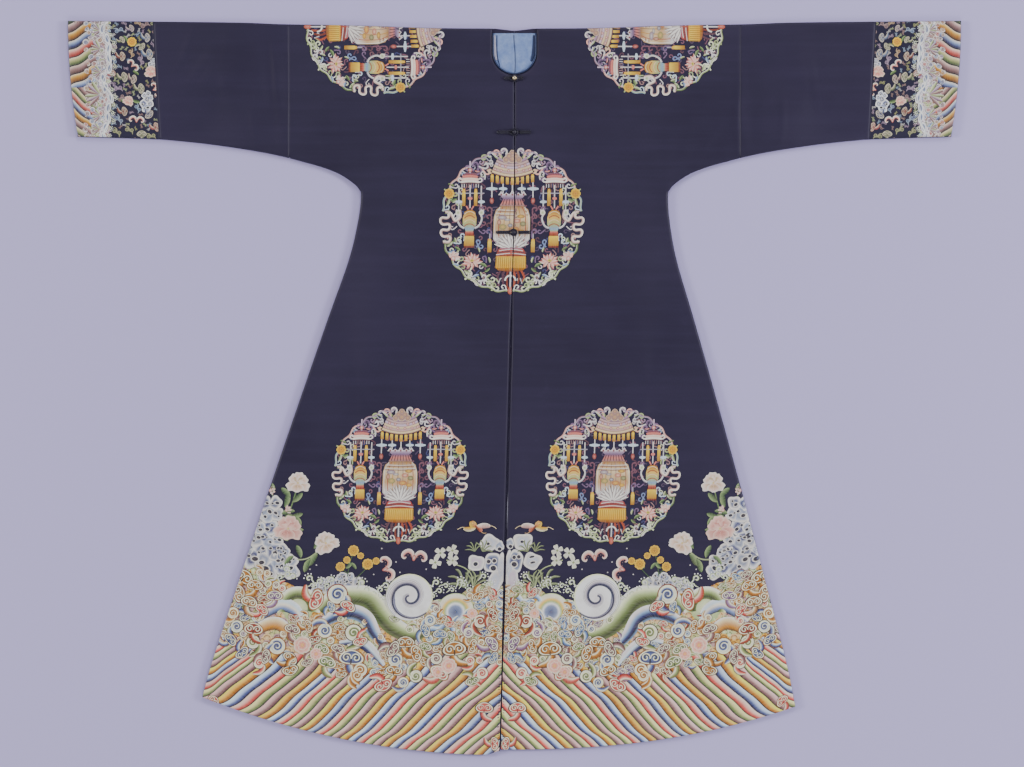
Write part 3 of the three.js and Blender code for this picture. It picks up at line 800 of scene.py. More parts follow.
def ruyi(h, tones, edge, layer, rim=CREAM):
    """A cloud head of two curls that meet over a banded tail."""
    h.sweep([(0, 0.1), (-0.15, -0.8), (0.35, -1.45), (1.35, -1.7)], 14, taper(14, 0.95, 0.3),
            [edge, rim, tones[1], tones[2], edge], layer)
    t = TAU * np.arange(32) / 32
    reach = 1.0 + 0.08 * np.cos(2 * t) - 0.07 * np.sin(3 * t)
    head = np.column_stack([1.3 * reach * np.cos(t), 0.9 * reach * np.sin(t) + 0.12])
    h.patch(head, [edge, edge], layer + 1, rings=[1, 0.89])
    h.patch(head, [rim, rim, tones[2], tones[1]], layer + 1, rings=[0.89, 0.78, 0.74, 0.02])
    for flip in (-1, 1):
        lobe = h.at(0.5 * flip, 0.1, 0, 1, flip)
        path = spiral(0.42, 0.06, -1.2, 3.4, 20)
        lobe.ribbon(path, 0.26, [rim, rim, tones[3], tones[3]], layer + 2, 0.08)
    h.ribbon([(0, -0.55), (0, 0.0)], 0.16, tones[3], layer + 2, 0.08)


def wisp(h, tones, layer):
    """A small loose cloud: two curls joined by a wavy band."""
    h.sweep([(-1.5, -0.2), (-0.7, 0.25), (0, -0.1), (0.7, 0.3), (1.6, 0.1)], 18, taper(18, 0.5),
            [tones[0], tones[2]], layer)
    for x, y, turn, flip in ((-0.5, 0.45, 0, 1), (0.55, -0.35, 3, -1)):
        lobe = h.at(x, y, turn, 0.5, flip)
        lobe.patch(circle(1.0, 14), tones[:3], layer + 0.3, rings=[1, 0.75, 0.02])
        lobe.ribbon(spiral(0.6, 0.1, 1.1, 0.3, 16), 0.22, tones[3], layer + 1, 0.05)


def flower(h, petals, tones, heart, layer, rings):
    """A round flower of overlapping petals."""
    for ring in range(rings):
        reach = 1.0 - 0.4 * ring
        for k in range(petals):
            turn = TAU * (k + 0.5 * ring) / petals
            wide = reach * math.pi / petals * 1.05
            p = h.at(0, 0, turn)
            outline = [(0.12, 0), (0.55 * reach, -wide), (0.94 * reach, -wide * 0.6), (reach, 0),
                       (0.94 * reach, wide * 0.6), (0.55 * reach, wide)]
            p.patch(spline(outline, 14, True), tones[:3], layer + ring * 0.8,
                    (0.38 * reach, 0), 0.1, rings=[1, 0.62, 0.02])
            p.ribbon([(0.12, 0), (0.6 * reach, 0)], 0.05, tones[3], layer + ring * 0.8 + 0.4, 0.0)
    h.patch(circle(0.2, 10), [heart, tones[1]], layer + rings)


def leaf(h, tones, layer):
    """A pointed leaf from (0, 0) to (2, 0), darker along one side of its vein."""
    count = 10
    path = spline([(0, 0), (0.7, 0.12), (1.4, 0.08), (2, 0)], count)
    h.ribbon(path, taper(count, 0.8, 0.04), [tones[0], tones[1], tones[3]], layer)
    h.ribbon(path[1:-1], 0.08, tones[0], layer + 0.5, 0.04)


def stem(h, points, width, tone, layer):
    h.ribbon(spline(points, 6 * len(points)), width, tone, layer, 0.08)


def peony(h, pale, layer):
    """An open peony: loose outer petals round a cupped heart."""
    tones = [WHITE[0], PEONY[0], BEIGE[1], PEONY[2]] if pale else PEONY
    for k, (turn, reach) in enumerate(((-0.5, 1.15), (3.5, 1.2), (0.7, 1.0), (2.5, 1.0),
                                       (1.6, 1.05), (4.3, 0.85), (5.1, 0.9))):
        petal = h.at(0, 0, turn)
        outline = [(0.05, -0.1), (0.55 * reach, -0.46), (reach, -0.36), (1.02 * reach, 0),
                   (1.06 * reach, 0.3), (0.6 * reach, 0.46), (0.05, 0.1)]
        petal.patch(spline(outline, 20, True), tones[:3], layer + 0.25 * k,
                    (0.3, 0), 0.1, rings=[1, 0.7, 0.02])
        for x in (-0.16, 0.0, 0.16):
            vein = [(0.15, x * 0.5), (0.72 * reach, x)]
            petal.ribbon(vein, 0.035, tones[3], layer + 0.3 * k + 0.3, 0)
    for k in range(5):
        petal = h.at(0, 0.12, 1.6 + (k - 2) * 0.72)
        petal.ribbon([(0, 0), (0.32, 0), (0.62, 0)], [0.2, 0.46, 0.12],
                     [tones[0], tones[1 + k % 2]], layer + 3 + 0.2 * k)
    h.dot(0, 0.02, 0.12, [BEIGE[0], GOLD[0]], layer + 5, 10)


def lotus(h, layer):
    for k in range(9):
        turn = math.pi * k / 8
        tones = [WHITE[0], PEONY[1], PINK[2]]
        long = 1.0 if k % 2 == 0 else 0.86
        p = h.at(0, -0.25, turn)
        p.ribbon([(0.1, 0), (0.4, 0), (0.75 * long, 0), (1.1 * long, 0)],
                 [0.12, 0.42, 0.36, 0.03], tones, layer + 0.4 * (k % 2))
    for k in (-1, 0, 1):
        p = h.at(0.25 * k, -0.25, -math.pi / 2 + 0.5 * k)
        p.ribbon([(0, 0), (0.3, 0), (0.62, 0)], [0.2, 0.34, 0.03], [PEONY[0], PINK[1]], layer + 0.8)
    h.patch(circle(0.2, 10, 0.7), [YELLOW[0], SAGE[2]], layer + 1.6)


def bat(h, layer):
    """A bat with spread wings whose tips curl in."""
    for flip in (-1, 1):
        w = h.at(0, 0, 0.12 * flip, 1, flip)
        path = spline([(0.08, -0.05), (0.3, 0.42), (0.75, 0.62), (1.2, 0.34), (1.3, -0.12),
                       (1.02, -0.32), (0.88, -0.1)], 22)
        wide = np.interp(np.linspace(0, 1, 22), [0, 0.25, 0.55, 0.8, 1], [0.26, 0.5, 0.42, 0.26, 0.1])
        w.ribbon(path, wide, [WHITE[0], PEONY[0], PEONY[1], PINK[1]], layer)
        for x, y in ((0.42, 0.1), (0.75, 0.14), (1.0, 0.1)):
            w.dot(x, y, 0.07, MAUVE[2], layer + 1)
    h.patch(circle(0.2, 12, 1.9), [PINK[2], PEONY[0]], layer + 1)


def butterfly(h, layer):
    """A butterfly seen from the side: a long wing, a round wing, a hind wing, feelers, tails."""
    h.sweep([(1.1, 0.28), (1.5, 0.3), (1.9, 0.1)], 10, 0.07, BEIGE[0], layer)
    h.sweep([(-1.0, -0.1), (-1.4, -0.1), (-1.8, -0.35)], 10, 0.07, BEIGE[0], layer)
    h.sweep([(0.3, -0.2), (0.7, -0.45), (1.0, -0.4)], 10, 0.06, BEIGE[1], layer)
    for turn, reach, wide, tones, x, y in (
        (0.18, 1.3, 0.52, [WHITE[0], PEONY[0], PEONY[1], MAUVE[1]], 0.0, 0.08),
        (3.35, 1.15, 0.46, [SAGE[0], BEIGE[0], YELLOW[0], GOLD[1]], -0.1, -0.02),
        (2.35, 0.75, 0.66, [YELLOW[0], GOLD[1], RUST[0], GOLD[0]], -0.05, 0.02),
        (-0.5, 0.62, 0.4, [PINK[1], RUST[0], RUST[1]], 0.0, 0.0),
    ):
        wing = h.at(x, y, turn)
        wing.sweep([(0, 0), (0.35 * reach, 0.06), (0.7 * reach, 0.04), (reach, -0.05)], 14,
                   taper(14, wide, 0.35), tones, layer + 1)
        for k in range(4):
            low = wide * (0.28 - 0.18 * k)
            wing.ribbon([(0.4 * reach, low), (0.92 * reach, low)], 0.035, tones[-1], layer + 2, 0)
        wing.dot(0.72 * reach, 0.02, 0.08, [tones[-1], tones[0]], layer + 2)
    h.sweep([(-0.15, 0.2), (0.05, 0.0), (0.3, -0.3)], 10, taper(10, 0.2, 0.3),
             [RUST[1], RUST[3]], layer + 3)


def orchid(h, layer):
    for k, turn in enumerate((0.5, 0.95, 1.35, 1.9, 2.4)):
        reach = 1.8 - 0.25 * abs(k - 2)
        x, y = reach * math.cos(turn), reach * math.sin(turn)
        h.sweep([(0, 0), (0.5 * x, 0.6 * y), (1.1 * x, 0.75 * y)], 12, taper(12, 0.16, 0.1),
                [SAGE[1], SAGE[3]], layer)


def boulder(h, x, y, wide, tall, tones, holes, seed, layer):
    """One lobe of a scholar's rock: a thick white rim round pale blue, pierced by dark holes."""
    t = TAU * np.arange(28) / 28
    wobble = 1 + 0.09 * np.sin(4 * t + 2.1 * seed) + 0.06 * np.sin(3 * t + seed)
    outline = circle(1.0, 28) * (wide, tall) * wobble[:, None] + (x, y)
    h.patch(outline, [ROCK[3], WHITE[0], WHITE[0], tones[0], tones[1], tones[0]], layer, (x, y), 0.1,
            rings=[1, 0.94, 0.8, 0.68, 0.4, 0.02])
    for dx, dy, r, squash in holes:
        spot = h.at(x + dx, y + dy, 0.25 * math.sin(seed), r)
        spot.patch(circle(1.5, 14, squash), WHITE[0], layer + 1.2, None, 0.0)
        spot.patch(circle(1.05, 14, squash), [NIGHT, BLUE[3]], layer + 1.4, None, 0.0)


def rock(h, seed, layer=2):
    """A scholar's rock of seven lobes."""
    draw = np.random.default_rng(seed)
    lobes = [(0, -0.75, 0.6), (-0.42, -0.2, 0.46), (0.42, -0.25, 0.5), (0.02, 0.4, 0.5),
             (-0.42, 0.6, 0.34), (0.42, 0.8, 0.36), (-0.04, 1.08, 0.36)]
    tints = [(ROCK[0], ROCK[1]), (WHITE[1], ROCK[1]), (ROCK[0], BLUE[2]), (WHITE[1], ROCK[2])]
    for k, (x, y, r) in enumerate(lobes):
        a = draw.uniform(0, TAU)
        dx, dy = 0.3 * r * math.cos(a), 0.3 * r * math.sin(a)
        holes = [(dx, dy, r * (0.3, 0.24)[k % 2], 0.7)]
        if k % 3 < 2:
            holes.append((-1.4 * dx, -1.4 * dy, r * 0.17, 0.8))
        boulder(h, x, y, r, r * 1.12, tints[(k + seed) % 4], holes, k + seed, layer + 0.12 * k)


def foam(h, layer):
    """A hook of foam: a pale curl with dots of spray along its back."""
    path = np.vstack([spline([(0.9, -1.2), (0.5, -0.3)], 6), spiral(0.6, 0.15, 0.9, 0.2, 18)])
    h.ribbon(path, taper(24, 0.36, 0.3), [WHITE[0], SAGE[1]], layer)
    for k in range(4):
        a = 1.0 + 0.62 * k
        h.patch(circle(0.15, 8) + (0.98 * math.cos(a), 0.98 * math.sin(a)), WHITE[0], layer + 1)


def great_wave(h, layer):
    """A big rolling wave seen end on: one broad band wound into a spiral, dark along its line."""
    h.patch(circle(1.05, 60), [SAGE[0], SAGE[0], WHITE[0], WHITE[0], WHITE[1]], layer,
            rings=[1, 0.96, 0.92, 0.5, 0])
    count = 110
    t = np.linspace(0, 1, count)
    turn = 3.85 + TAU * 1.62 * t
    line = 0.06 + 0.98 * (1 - t) ** 1.35
    wide = np.interp(t, [0, 0.22, 0.5, 1], [0.03, 0.4, 0.3, 0.14])
    reach = np.minimum(line + wide / 2, 1.03 - wide / 2)
    h.ribbon(polar(reach, turn), wide, [ROCK[2], WHITE[2], WHITE[1], WHITE[0], WHITE[0]],
             layer + 1, 0.2)
    thin = np.interp(t, [0, 0.3, 1], [0.04, 0.1, 0.07])
    h.ribbon(polar(line, turn), thin, ROCK[3], layer + 4, 0.0)
    for k in range(4):  # fine lines along the band
        path = polar(line + wide * (0.2 + 0.2 * k), turn)[16:]
        h.ribbon(path, 0.012, WHITE[3 - k % 2], layer + 4, 0.0)


def swell(h, path, width, tones, layer):
    """A broad wave that runs inwards along a path: pale on its crest, deep in its trough."""
    path = spline(path, 60)
    t = np.linspace(0, 1, 60)
    wide = width * (0.3 + 0.7 * np.sin(math.pi * np.clip(t * 0.94 + 0.05, 0, 1)) ** 0.7)
    h.ribbon(path, wide, tones[::-1], layer, 0.35, slant=0.9)


def scales(h, area, radius, sets, draw, layer):
    """A ground of small overlapping arcs, each a pale rim over deeper bands."""
    x0, x1, y0, y1 = area
    rows = np.arange(y1, y0, -radius * 0.62)
    for r, y in enumerate(rows):
        for x in np.arange(x0 + (r % 2) * radius, x1, radius * 2):
            tones = sets[draw.integers(len(sets))]
            arch = arc(0, 0, 0.76 * radius, -0.15, math.pi + 0.3, 12)
            spot = h.at(x, y, draw.uniform(-0.25, 0.25))
            spot.ribbon(arch, radius * 0.5, [tones[3], tones[1], tones[0], tones[2]],
                        layer + 0.012 * r, 0.05)
            spot.patch(circle(0.52 * radius, 10), [tones[1], tones[0]], layer + 0.012 * r - 0.02)


# --- The lantern roundel, in units of its radius ------------------------------------------------


def string(h, x, top, low, beads=(), drop=None):
    """A hanging string with beads of (y, half width, tone), and a drop at its end."""
    h.ribbon([(x, top), (x, low)], 0.016, WHITE[1], 3, 0.02)
    for y, half, tone in beads:
        h.ribbon([(x - half, y), (x, y), (x + half, y)], [0.02, 0.05, 0.02], tone, 4, 0.05)
    if drop is not None:
        h.patch(circle(0.03, 10, 1.5) + (x, low - 0.03), [drop[2], drop[0]], 4)


def tassel(h, top, low, half, layer=3):
    h.panel([(top, half * 0.7), (top - 0.25 * (top - low), half), (low, half * 1.02)],
            [YELLOW[1], YELLOW[0], YELLOW[2]], layer, 5, 0.2)
    if half > 0.04:
        h.panel([(top, half * 0.8), (top - 0.18 * (top - low), half)], RUST[1:3], layer + 1)
        h.panel([(low + 0.012, half * 1.02), (low - 0.012, half)], RUST[2], layer + 1)


def canopy(h, half, top, low, tones, sag, layer):
    """A lantern's roof: courses that widen downwards and sag in the middle, with a fringe."""
    courses = len(tones)
    deep = (top - low) / courses
    for k in range(courses):
        w = half * (0.62 + 0.38 * ((k + 0.5) / courses) ** 0.7)
        y = top - deep * (k + 0.5)
        t = np.linspace(-1, 1, 16)
        path = np.column_stack([t * w, y + sag * (t * t - 0.6)])
        h.ribbon(path, deep * 1.1, [tones[k][0], tones[k][0], tones[k][1]], layer + k)
    t = np.linspace(-1, 1, 16)
    path = np.column_stack([t * half, low + sag * (t * t - 0.6)])
    h.ribbon(path, 0.014, PLUM[1], layer + courses)
    for flip in (-1, 1):
        tip = h.at(flip * half * 1.06, low + 0.05, 0, 0.036, flip)
        tip.ribbon(spiral(1, 0.3, 0.9, 3.6, 12), 0.5, tones[-1][0], layer + 2)


def hook(h, tone, layer, width):
    """A small tendril: a stem that ends in one curl."""
    path = np.vstack([spline([(1.4, -1.5), (1.2, -0.5)], 5), spiral(1.0, 0.3, 0.85, -0.2, 14)])
    h.ribbon(path, width, tone, layer, 0.06)


def vine(h, start, end, tones, leaves):
    """A run of the rim: a wavy stem with curls on its inner side and small leaves."""
    count = int(abs(end - start)) + 4
    angles = np.radians(np.linspace(start, end, count))
    reach = 0.945 + 0.014 * np.sin(angles * 26)
    h.ribbon(polar(reach, angles), 0.026, tones[:3], 3, 0.1)
    for k, degrees in enumerate(np.arange(min(start, end) + 4, max(start, end) - 2, 8)):
        a = math.radians(degrees)
        hook(h.around(0.89, a, a + math.pi / 2, 0.036, 2 * (k % 2) - 1), tones[k % 2], 2.4, 0.42)
        if k % 2 == 0:
            leaf(h.around(0.84, a + 0.09, a + 2.4, 0.035), leaves, 2)


def small_lantern(h):
    """The lantern at one side, about x = 0, hung from its own canopy."""
    h.ribbon([(0, 0.8), (0, 0.64)], 0.02, LILAC[0], 3)
    h.dot(0, 0.68, 0.03, [PINK[2], PEONY[0]], 4, 10)
    canopy(h, 0.125, 0.64, 0.5, [(PLUM[0], PINK[2]), (PINK[1], PINK[2]), (PEONY[0], PINK[0]),
                                 (WHITE[0], BEIGE[1])], -0.012, 3)
    for x in np.linspace(-0.11, 0.11, 8):
        h.ribbon([(x, 0.5), (x, 0.445)], 0.012, (WHITE[1], MAUVE[1])[int(x * 1000) % 2], 3)
    h.ribbon([(-0.19, 0.37), (0.19, 0.37)], 0.014, WHITE[2], 3)
    for x in (-0.075, 0.085):
        tassel(h.at(x, 0), 0.43, 0.2, 0.022, 3)
    string(h, 0, 0.48, 0.17, [(0.3, 0.03, PINK[1])])
    for flip in (-1, 1):
        side = h.at(0, 0, 0, 1, flip)
        string(side, 0.15, 0.47, 0.1, [(0.255, 0.045, SKY[0])])
        ear = spline([(0.07, -0.1), (0.13, -0.06), (0.165, 0.03), (0.14, 0.12), (0.19, 0.14)], 18)
        side.ribbon(ear, 0.026, [WHITE[0], WHITE[2]], 4)
        side.at(0.155, 0.11, 0.6, 0.036).patch(circle(1, 12), [WHITE[0], SAGE[1]], 4)
        side.ribbon([(0.02, 0.15), (0.05, 0.2)], 0.02, PINK[1], 4)
    body = [(0.145, 0.03), (0.12, 0.07), (0.04, 0.092), (-0.05, 0.09), (-0.11, 0.06), (-0.14, 0.05)]
    h.panel(body, [YELLOW[2], GOLD[1], GOLD[0], SAGE[1], SKY[1], SAGE[1]], 4, 9, 0.2)
    for k in range(4):
        y = 0.1 - 0.055 * k
        h.ribbon(arc(0, y - 0.06, 0.085, 2.5, -1.9, 10), 0.012, (BEIGE[0], RUST[1])[k % 2], 7)
    h.panel([(-0.14, 0.05), (-0.17, 0.06)], [PINK[1], RUST[1]], 6)
    tassel(h, -0.17, -0.345, 0.066, 4)


def great_lantern(h):
    canopy(h, 0.28, 0.83, 0.62, [(LILAC[1], MAUVE[2]), (MAUVE[0], MAUVE[2]), (LILAC[0], MAUVE[1]),
                                 (BEIGE[0], MAUVE[1]), (MAUVE[0], BEIGE[2]), (BEIGE[0], BEIGE[2])],
           0.06, 4)
    for x, y, r in ((-0.085, 0.82, 0.045), (0.085, 0.82, 0.045), (-0.045, 0.865, 0.045),
                    (0.045, 0.865, 0.045), (0, 0.91, 0.04), (0, 0.83, 0.06)):
        h.patch(circle(r, 12) + (x, y), [BEIGE[0], MAUVE[1], BEIGE[1]], 8, rings=[1, 0.7, 0.02])
    for flip in (-1, 1):
        for x, y in ((0.09, 0.73), (0.17, 0.745), (0.05, 0.67), (0.15, 0.675), (0.23, 0.69)):
            h.dot(flip * x, y, 0.02, [PINK[2], WHITE[0]], 11)
    for x in np.linspace(-0.27, 0.27, 9):
        tassel(h.at(x, 0.035 * abs(x) / 0.27 - 0.01), 0.6, 0.49, 0.02)
    string(h, 0, 0.6, 0.36)
    # Crown and collar.
    h.panel([(0.36, 0.17), (0.33, 0.155), (0.3, 0.13)], [LILAC[0], LILAC[2]], 3)
    for k, x in enumerate((-0.15, -0.08, 0.0, 0.08, 0.15)):
        tall = (0.4, 0.38, 0.42, 0.38, 0.4)[k]
        h.patch([(x - 0.04, 0.345), (x, tall), (x + 0.04, 0.345)], [WHITE[0], LILAC[1]], 4)
        h.dot(x, 0.35, 0.012, RUST[2], 6)
    h.panel([(0.3, 0.12), (0.25, 0.14), (0.2, 0.17)], [LILAC[2], PINK[1], MAUVE[1]], 4, 9)
    for k in range(7):
        h.ribbon([(-0.105 + 0.035 * k, 0.29), (-0.13 + 0.043 * k, 0.21)], 0.01, MAUVE[3], 6, 0)
    # The eight-sided body: ribs, a painted scene of small motifs, a foot of lotus petals.
    body = [(0.2, 0.155), (0.15, 0.215), (0.05, 0.242), (-0.1, 0.246), (-0.24, 0.243),
            (-0.31, 0.2), (-0.365, 0.14)]
    h.panel(body, [BEIGE[2], BEIGE[1], BEIGE[0], BEIGE[1], WHITE[1], LILAC[0], MAUVE[1]], 2, 13, 0.1)
    for k, x in enumerate((-0.22, -0.17, -0.1, -0.03, 0.04, 0.11, 0.18, 0.225)):
        rib = [(x * 0.74, 0.185), (x, 0.06), (x, -0.2), (x * 0.72, -0.35)]
        tone = (WHITE[0], RUST[1], GOLD[1], BEIGE[2], MAUVE[1], GOLD[1], RUST[1], WHITE[0])[k]
        h.ribbon(spline(rib, 18), 0.009, tone, 4, 0.0)
    for y, half in ((0.15, 0.2), (0.1, 0.22), (-0.26, 0.225)):
        h.ribbon([(-half, y), (0, y - 0.01), (half, y)], 0.01, WHITE[1], 5, 0.0)
        h.ribbon([(-half, y - 0.02), (0, y - 0.028), (half, y - 0.02)], 0.008, MAUVE[2], 5, 0.0)
    for x, y, w, tall, tones in (
        (-0.13, 0.045, 0.075, 0.035, [LILAC[2], SKY[0]]), (-0.06, 0.015, 0.05, 0.02, [SKY[2], WHITE[0]]),
        (0.12, 0.06, 0.06, 0.03, [GOLD[2], YELLOW[0]]), (0.07, 0.0, 0.055, 0.035, [PINK[2], PEONY[0]]),
        (0.15, -0.04, 0.05, 0.04, [SAGE[3], SAGE[1]]), (-0.12, -0.08, 0.06, 0.045, [SAGE[2], GOLD[0]]),
        (0.04, -0.11, 0.07, 0.04, [RUST[1], YELLOW[0]]), (-0.02, -0.06, 0.04, 0.03, [BLUE[2], SKY[0]]),
        (-0.17, -0.02, 0.03, 0.05, [RUST[2], PINK[0]]),
        (0.13, -0.14, 0.05, 0.03, [YELLOW[2], YELLOW[0]]),
    ):
        tones = [0.7 * tone + 0.3 * BEIGE[1] for tone in tones]
        h.patch(circle(1, 14) * (w, tall) * 0.85 + (x, y), tones, 6)
    for k in range(13):
        turn = math.pi * (0.08 + 0.84 * k / 12)
        petal = h.at(0.0, -0.37, turn, 0.235)
        petal.ribbon([(0.1, 0), (0.5, 0), (1.0, 0)], [0.08, 0.24, 0.04],
                     [MAUVE[2], WHITE[0], WHITE[0], WHITE[1], MAUVE[3]], 8 + k % 2, 0.05)
    h.panel([(-0.36, 0.14), (-0.38, 0.17), (-0.46, 0.2)], [LILAC[1], PINK[2], RUST[1]], 8, 9)
    for k in range(3):
        y = -0.4 - 0.027 * k
        w = 0.16 + 0.02 * k
        h.sweep([(-w, y), (0, y + 0.02), (w, y)], 12, 0.012, (WHITE[1], PLUM[1])[k % 2], 10, 0)
    h.panel([(-0.465, 0.195), (-0.48, 0.2), (-0.5, 0.2), (-0.63, 0.205)],
            [RUST[1], YELLOW[1], YELLOW[0], YELLOW[1]], 9, 11)
    for x in np.linspace(-0.19, 0.19, 15):
        h.ribbon([(x, -0.49), (x * 1.04, -0.635)], 0.009, YELLOW[2], 11, 0)
    h.panel([(-0.63, 0.2), (-0.66, 0.17), (-0.68, 0.05)], [YELLOW[2], RUST[2]], 8)
    for x, low in ((-0.15, -0.8), (-0.09, -0.86), (-0.04, -0.9), (0.05, -0.88), (0.1, -0.84),
                   (0.16, -0.82)):
        tone = (RUST[2], PLUM[1], RUST[1])[int(low * 100) % 3]
        h.sweep([(x * 0.8, -0.64), (x * 1.15, -0.75), (x, low)], 10, 0.028, tone, 2)
    h.ribbon(arc(0, -0.8, 0.07, 0, math.pi, 12), 0.022, WHITE[0], 4)
    h.ribbon([(0, -0.66), (0, -0.92)], 0.02, WHITE[1], 4)
    h.patch(circle(0.035, 10, 1.6) + (0, -0.93), [RUST[1], PINK[1]], 5)


ROUNDEL_LEAVES = [  # x, y, turn, size
    (0.86, -0.34, 2.4, 0.05), (0.8, -0.33, 0.3, 0.055), (0.68, -0.4, 0.6, 0.045),
    (0.74, -0.3, 1.3, 0.04), (0.85, -0.42, 2.9, 0.05), (0.62, -0.66, 3.5, 0.05),
    (0.32, -0.62, 0.5, 0.055), (0.35, -0.68, 2.5, 0.045), (0.28, -0.56, 1.3, 0.04),
    (0.42, -0.72, -0.4, 0.045), (0.88, 0.2, 1.9, 0.05), (0.83, 0.27, 2.8, 0.045),
    (0.78, 0.46, 0.4, 0.045), (0.42, -0.42, 1.2, 0.035), (0.69, -0.6, 0.2, 0.045),
    (0.26, -0.72, -0.6, 0.04), (0.9, 0.1, 2.6, 0.04), (0.8, 0.3, 0.2, 0.04),
]
ROUNDEL_HOOKS = [  # x, y, turn, size, tone
    (0.12, 0.93, 0.5, 0.05, 0), (0.22, 0.91, 0.0, 0.045, 1), (0.3, 0.88, -0.5, 0.045, 0),
    (0.38, 0.84, -0.9, 0.045, 2), (0.36, 0.74, 2.2, 0.045, 0), (0.33, 0.66, 2.9, 0.045, 1),
    (0.4, 0.63, 0.4, 0.04, 0), (0.17, 0.86, 2.6, 0.04, 2), (0.29, 0.79, 2.2, 0.035, 0),
    (0.5, 0.75, 0.3, 0.045, 3), (0.45, 0.68, 1.4, 0.045, 3), (0.6, 0.7, -0.4, 0.045, 3),
    (0.42, 0.56, 2.0, 0.04, 3), (0.66, 0.62, 1.2, 0.035, 4), (0.72, 0.55, -0.6, 0.035, 1),
    (0.31, 0.15, 0.4, 0.042, 5), (0.375, 0.18, 2.6, 0.034, 5), (0.31, 0.05, 0.4, 0.042, 5),
    (0.375, 0.07, 2.6, 0.034, 6), (0.31, -0.06, 0.4, 0.042, 6), (0.375, -0.03, 2.6, 0.034, 5),
    (0.31, -0.15, 0.4, 0.042, 3), (0.375, -0.14, 2.6, 0.034, 3), (0.66, -0.2, 0.4, 0.036, 7),
    (0.7, -0.27, 2.0, 0.036, 7), (0.45, -0.28, 1.0, 0.036, 8), (0.4, -0.34, 3.0, 0.036, 8),
    (0.72, 0.22, 0.2, 0.036, 2), (0.42, 0.16, 0.4, 0.036, 3), (0.76, 0.07, 1.2, 0.034, 0),
    (0.42, -0.82, 2.9, 0.05, 0), (0.28, -0.84, 0.4, 0.05, 2), (0.36, -0.75, 1.6, 0.045, 0),
    (0.18, -0.9, 2.8, 0.04, 9), (0.57, -0.7, 1.2, 0.045, 9), (0.5, -0.76, 2.4, 0.04, 0),
    (0.24, -0.78, 2.0, 0.04, 9), (0.36, -0.5, 0.3, 0.034, 3), (0.66, -0.5, 2.0, 0.034, 2),
    (0.84, -0.22, 0.9, 0.036, 1), (0.84, 0.42, 2.4, 0.036, 2), (0.76, 0.36, 2.6, 0.034, 2),
]
GOLDEN_ANGLE = 2.39996
HOOK_TONES = [WHITE[1], PEONY[1], SAGE[1], LILAC[2], SKY[1], PLUM[0], PLUM[1], SKY[0], BLUE[1], SAGE[0]]


def roundel(h):
    """The whole medallion: a great lantern under a canopy between two small ones, among fruit,
    lotus, ribbons and vines."""
    for k in range(150):  # a ground of dark scrolls, on turns of the golden angle
        r = 0.93 * math.sqrt((k + 0.7) / 150)
        a = GOLDEN_ANGLE * k + 0.4
        tone = (PLUM[0], PLUM[1], BLUE[2], PLUM[0], LILAC[3])[k % 5]
        hook(h.around(r, a, a * 1.7, 0.03, 1 - 2 * (k % 2)), tone, 0, 0.55)
    great_lantern(h)
    for flip in (-1, 1):
        m = h.at(0, 0, 0, 1, flip)
        for x, y, turn, size, tone in ROUNDEL_HOOKS:
            hook(m.at(x, y, turn, size, -1), HOOK_TONES[tone], 3, 0.5)
        for k, (x, y, turn, size) in enumerate(ROUNDEL_LEAVES):
            leaf(m.at(x, y, turn, size), (SAGE, LEAF, LEAF, SAGE, SKY)[k % 5], 3)
        small_lantern(m.at(0.565, 0))
        string(m, 0.275, 0.52, 0.3, [(0.43, 0.075, SKY[0])], PINK[1:])
        string(m, 0.125, 0.52, 0.37, [(0.43, 0.055, SKY[0])])
        tassel(m.at(0.29, 0), -0.24, -0.42, 0.026)
        m.ribbon([(0.29, -0.17), (0.29, -0.25)], 0.016, WHITE[2], 3)
        lotus(m.at(0.52, -0.53, -0.15, 0.13), 4)
        peony_bud(m.at(0.77, -0.5, 0.4, 0.08), 5)
        flower(m.at(0.845, 0.365, 0, 0.068), 8, YELLOW, RUST[1], 5, 1)
        t = np.linspace(0, 1, 60)
        wave = 0.9 + 0.062 * np.sin(TAU * (2.6 * t + 0.52)) - 0.03 * t
        snake = np.column_stack([wave, 0.12 - 0.42 * t + 0.018 * np.sin(TAU * 5.2 * t)])
        lead = spline([(0.7, 0.15), (0.69, 0.05), (0.76, 0.0), (0.82, 0.1), tuple(snake[0])], 22)
        m.ribbon(np.vstack([lead[:-1], snake]), 0.036, [WHITE[0], PEONY[0], MAUVE[1]], 4, 0.1)
        stem(m, [(0.52, -0.62), (0.56, -0.74), (0.44, -0.84)], 0.02, SAGE[0], 3)
        for k in range(26):  # pale tendrils between the vine and the lanterns
            a = math.radians(-82 + 6.3 * k)
            spot = m.around((0.8, 0.73, 0.85)[k % 3], a, 2.4 * k, 0.032, 1 - 2 * (k % 2))
            hook(spot, (WHITE[1], PLUM[0], SAGE[0], MAUVE[1])[k % 4], 1, 0.42)
        vine(m, -88, -28, [WHITE[0], SAGE[1], SAGE[2]], SAGE)
        vine(m, -30, -16, [SAGE[0], LEAF[1], SAGE[2]], LEAF)
        vine(m, 8, 30, [SKY[0], SAGE[1], SKY[1]], SAGE)
        vine(m, 28, 52, [WHITE[1], PEONY[1], MAUVE[1]], PINK)
        vine(m, 50, 84, [WHITE[2], LILAC[1], MAUVE[2]], [PLUM[0], LILAC[1], LILAC[2], PLUM[1]])


def peony_bud(h, layer=4):
    for k in range(4):
        petal = h.at(0, 0, 0.5 + 0.7 * k)
        petal.ribbon([(0, 0), (0.6, 0), (1.2, 0)], [0.2, 0.8, 0.2], [WHITE[0], PEONY[1]], layer)
    h.patch(circle(0.4, 10), [PEONY[2], WHITE[0]], layer + 1)


# --- Hem: stripes of upright water, with the rolling sea over them ------------------------------

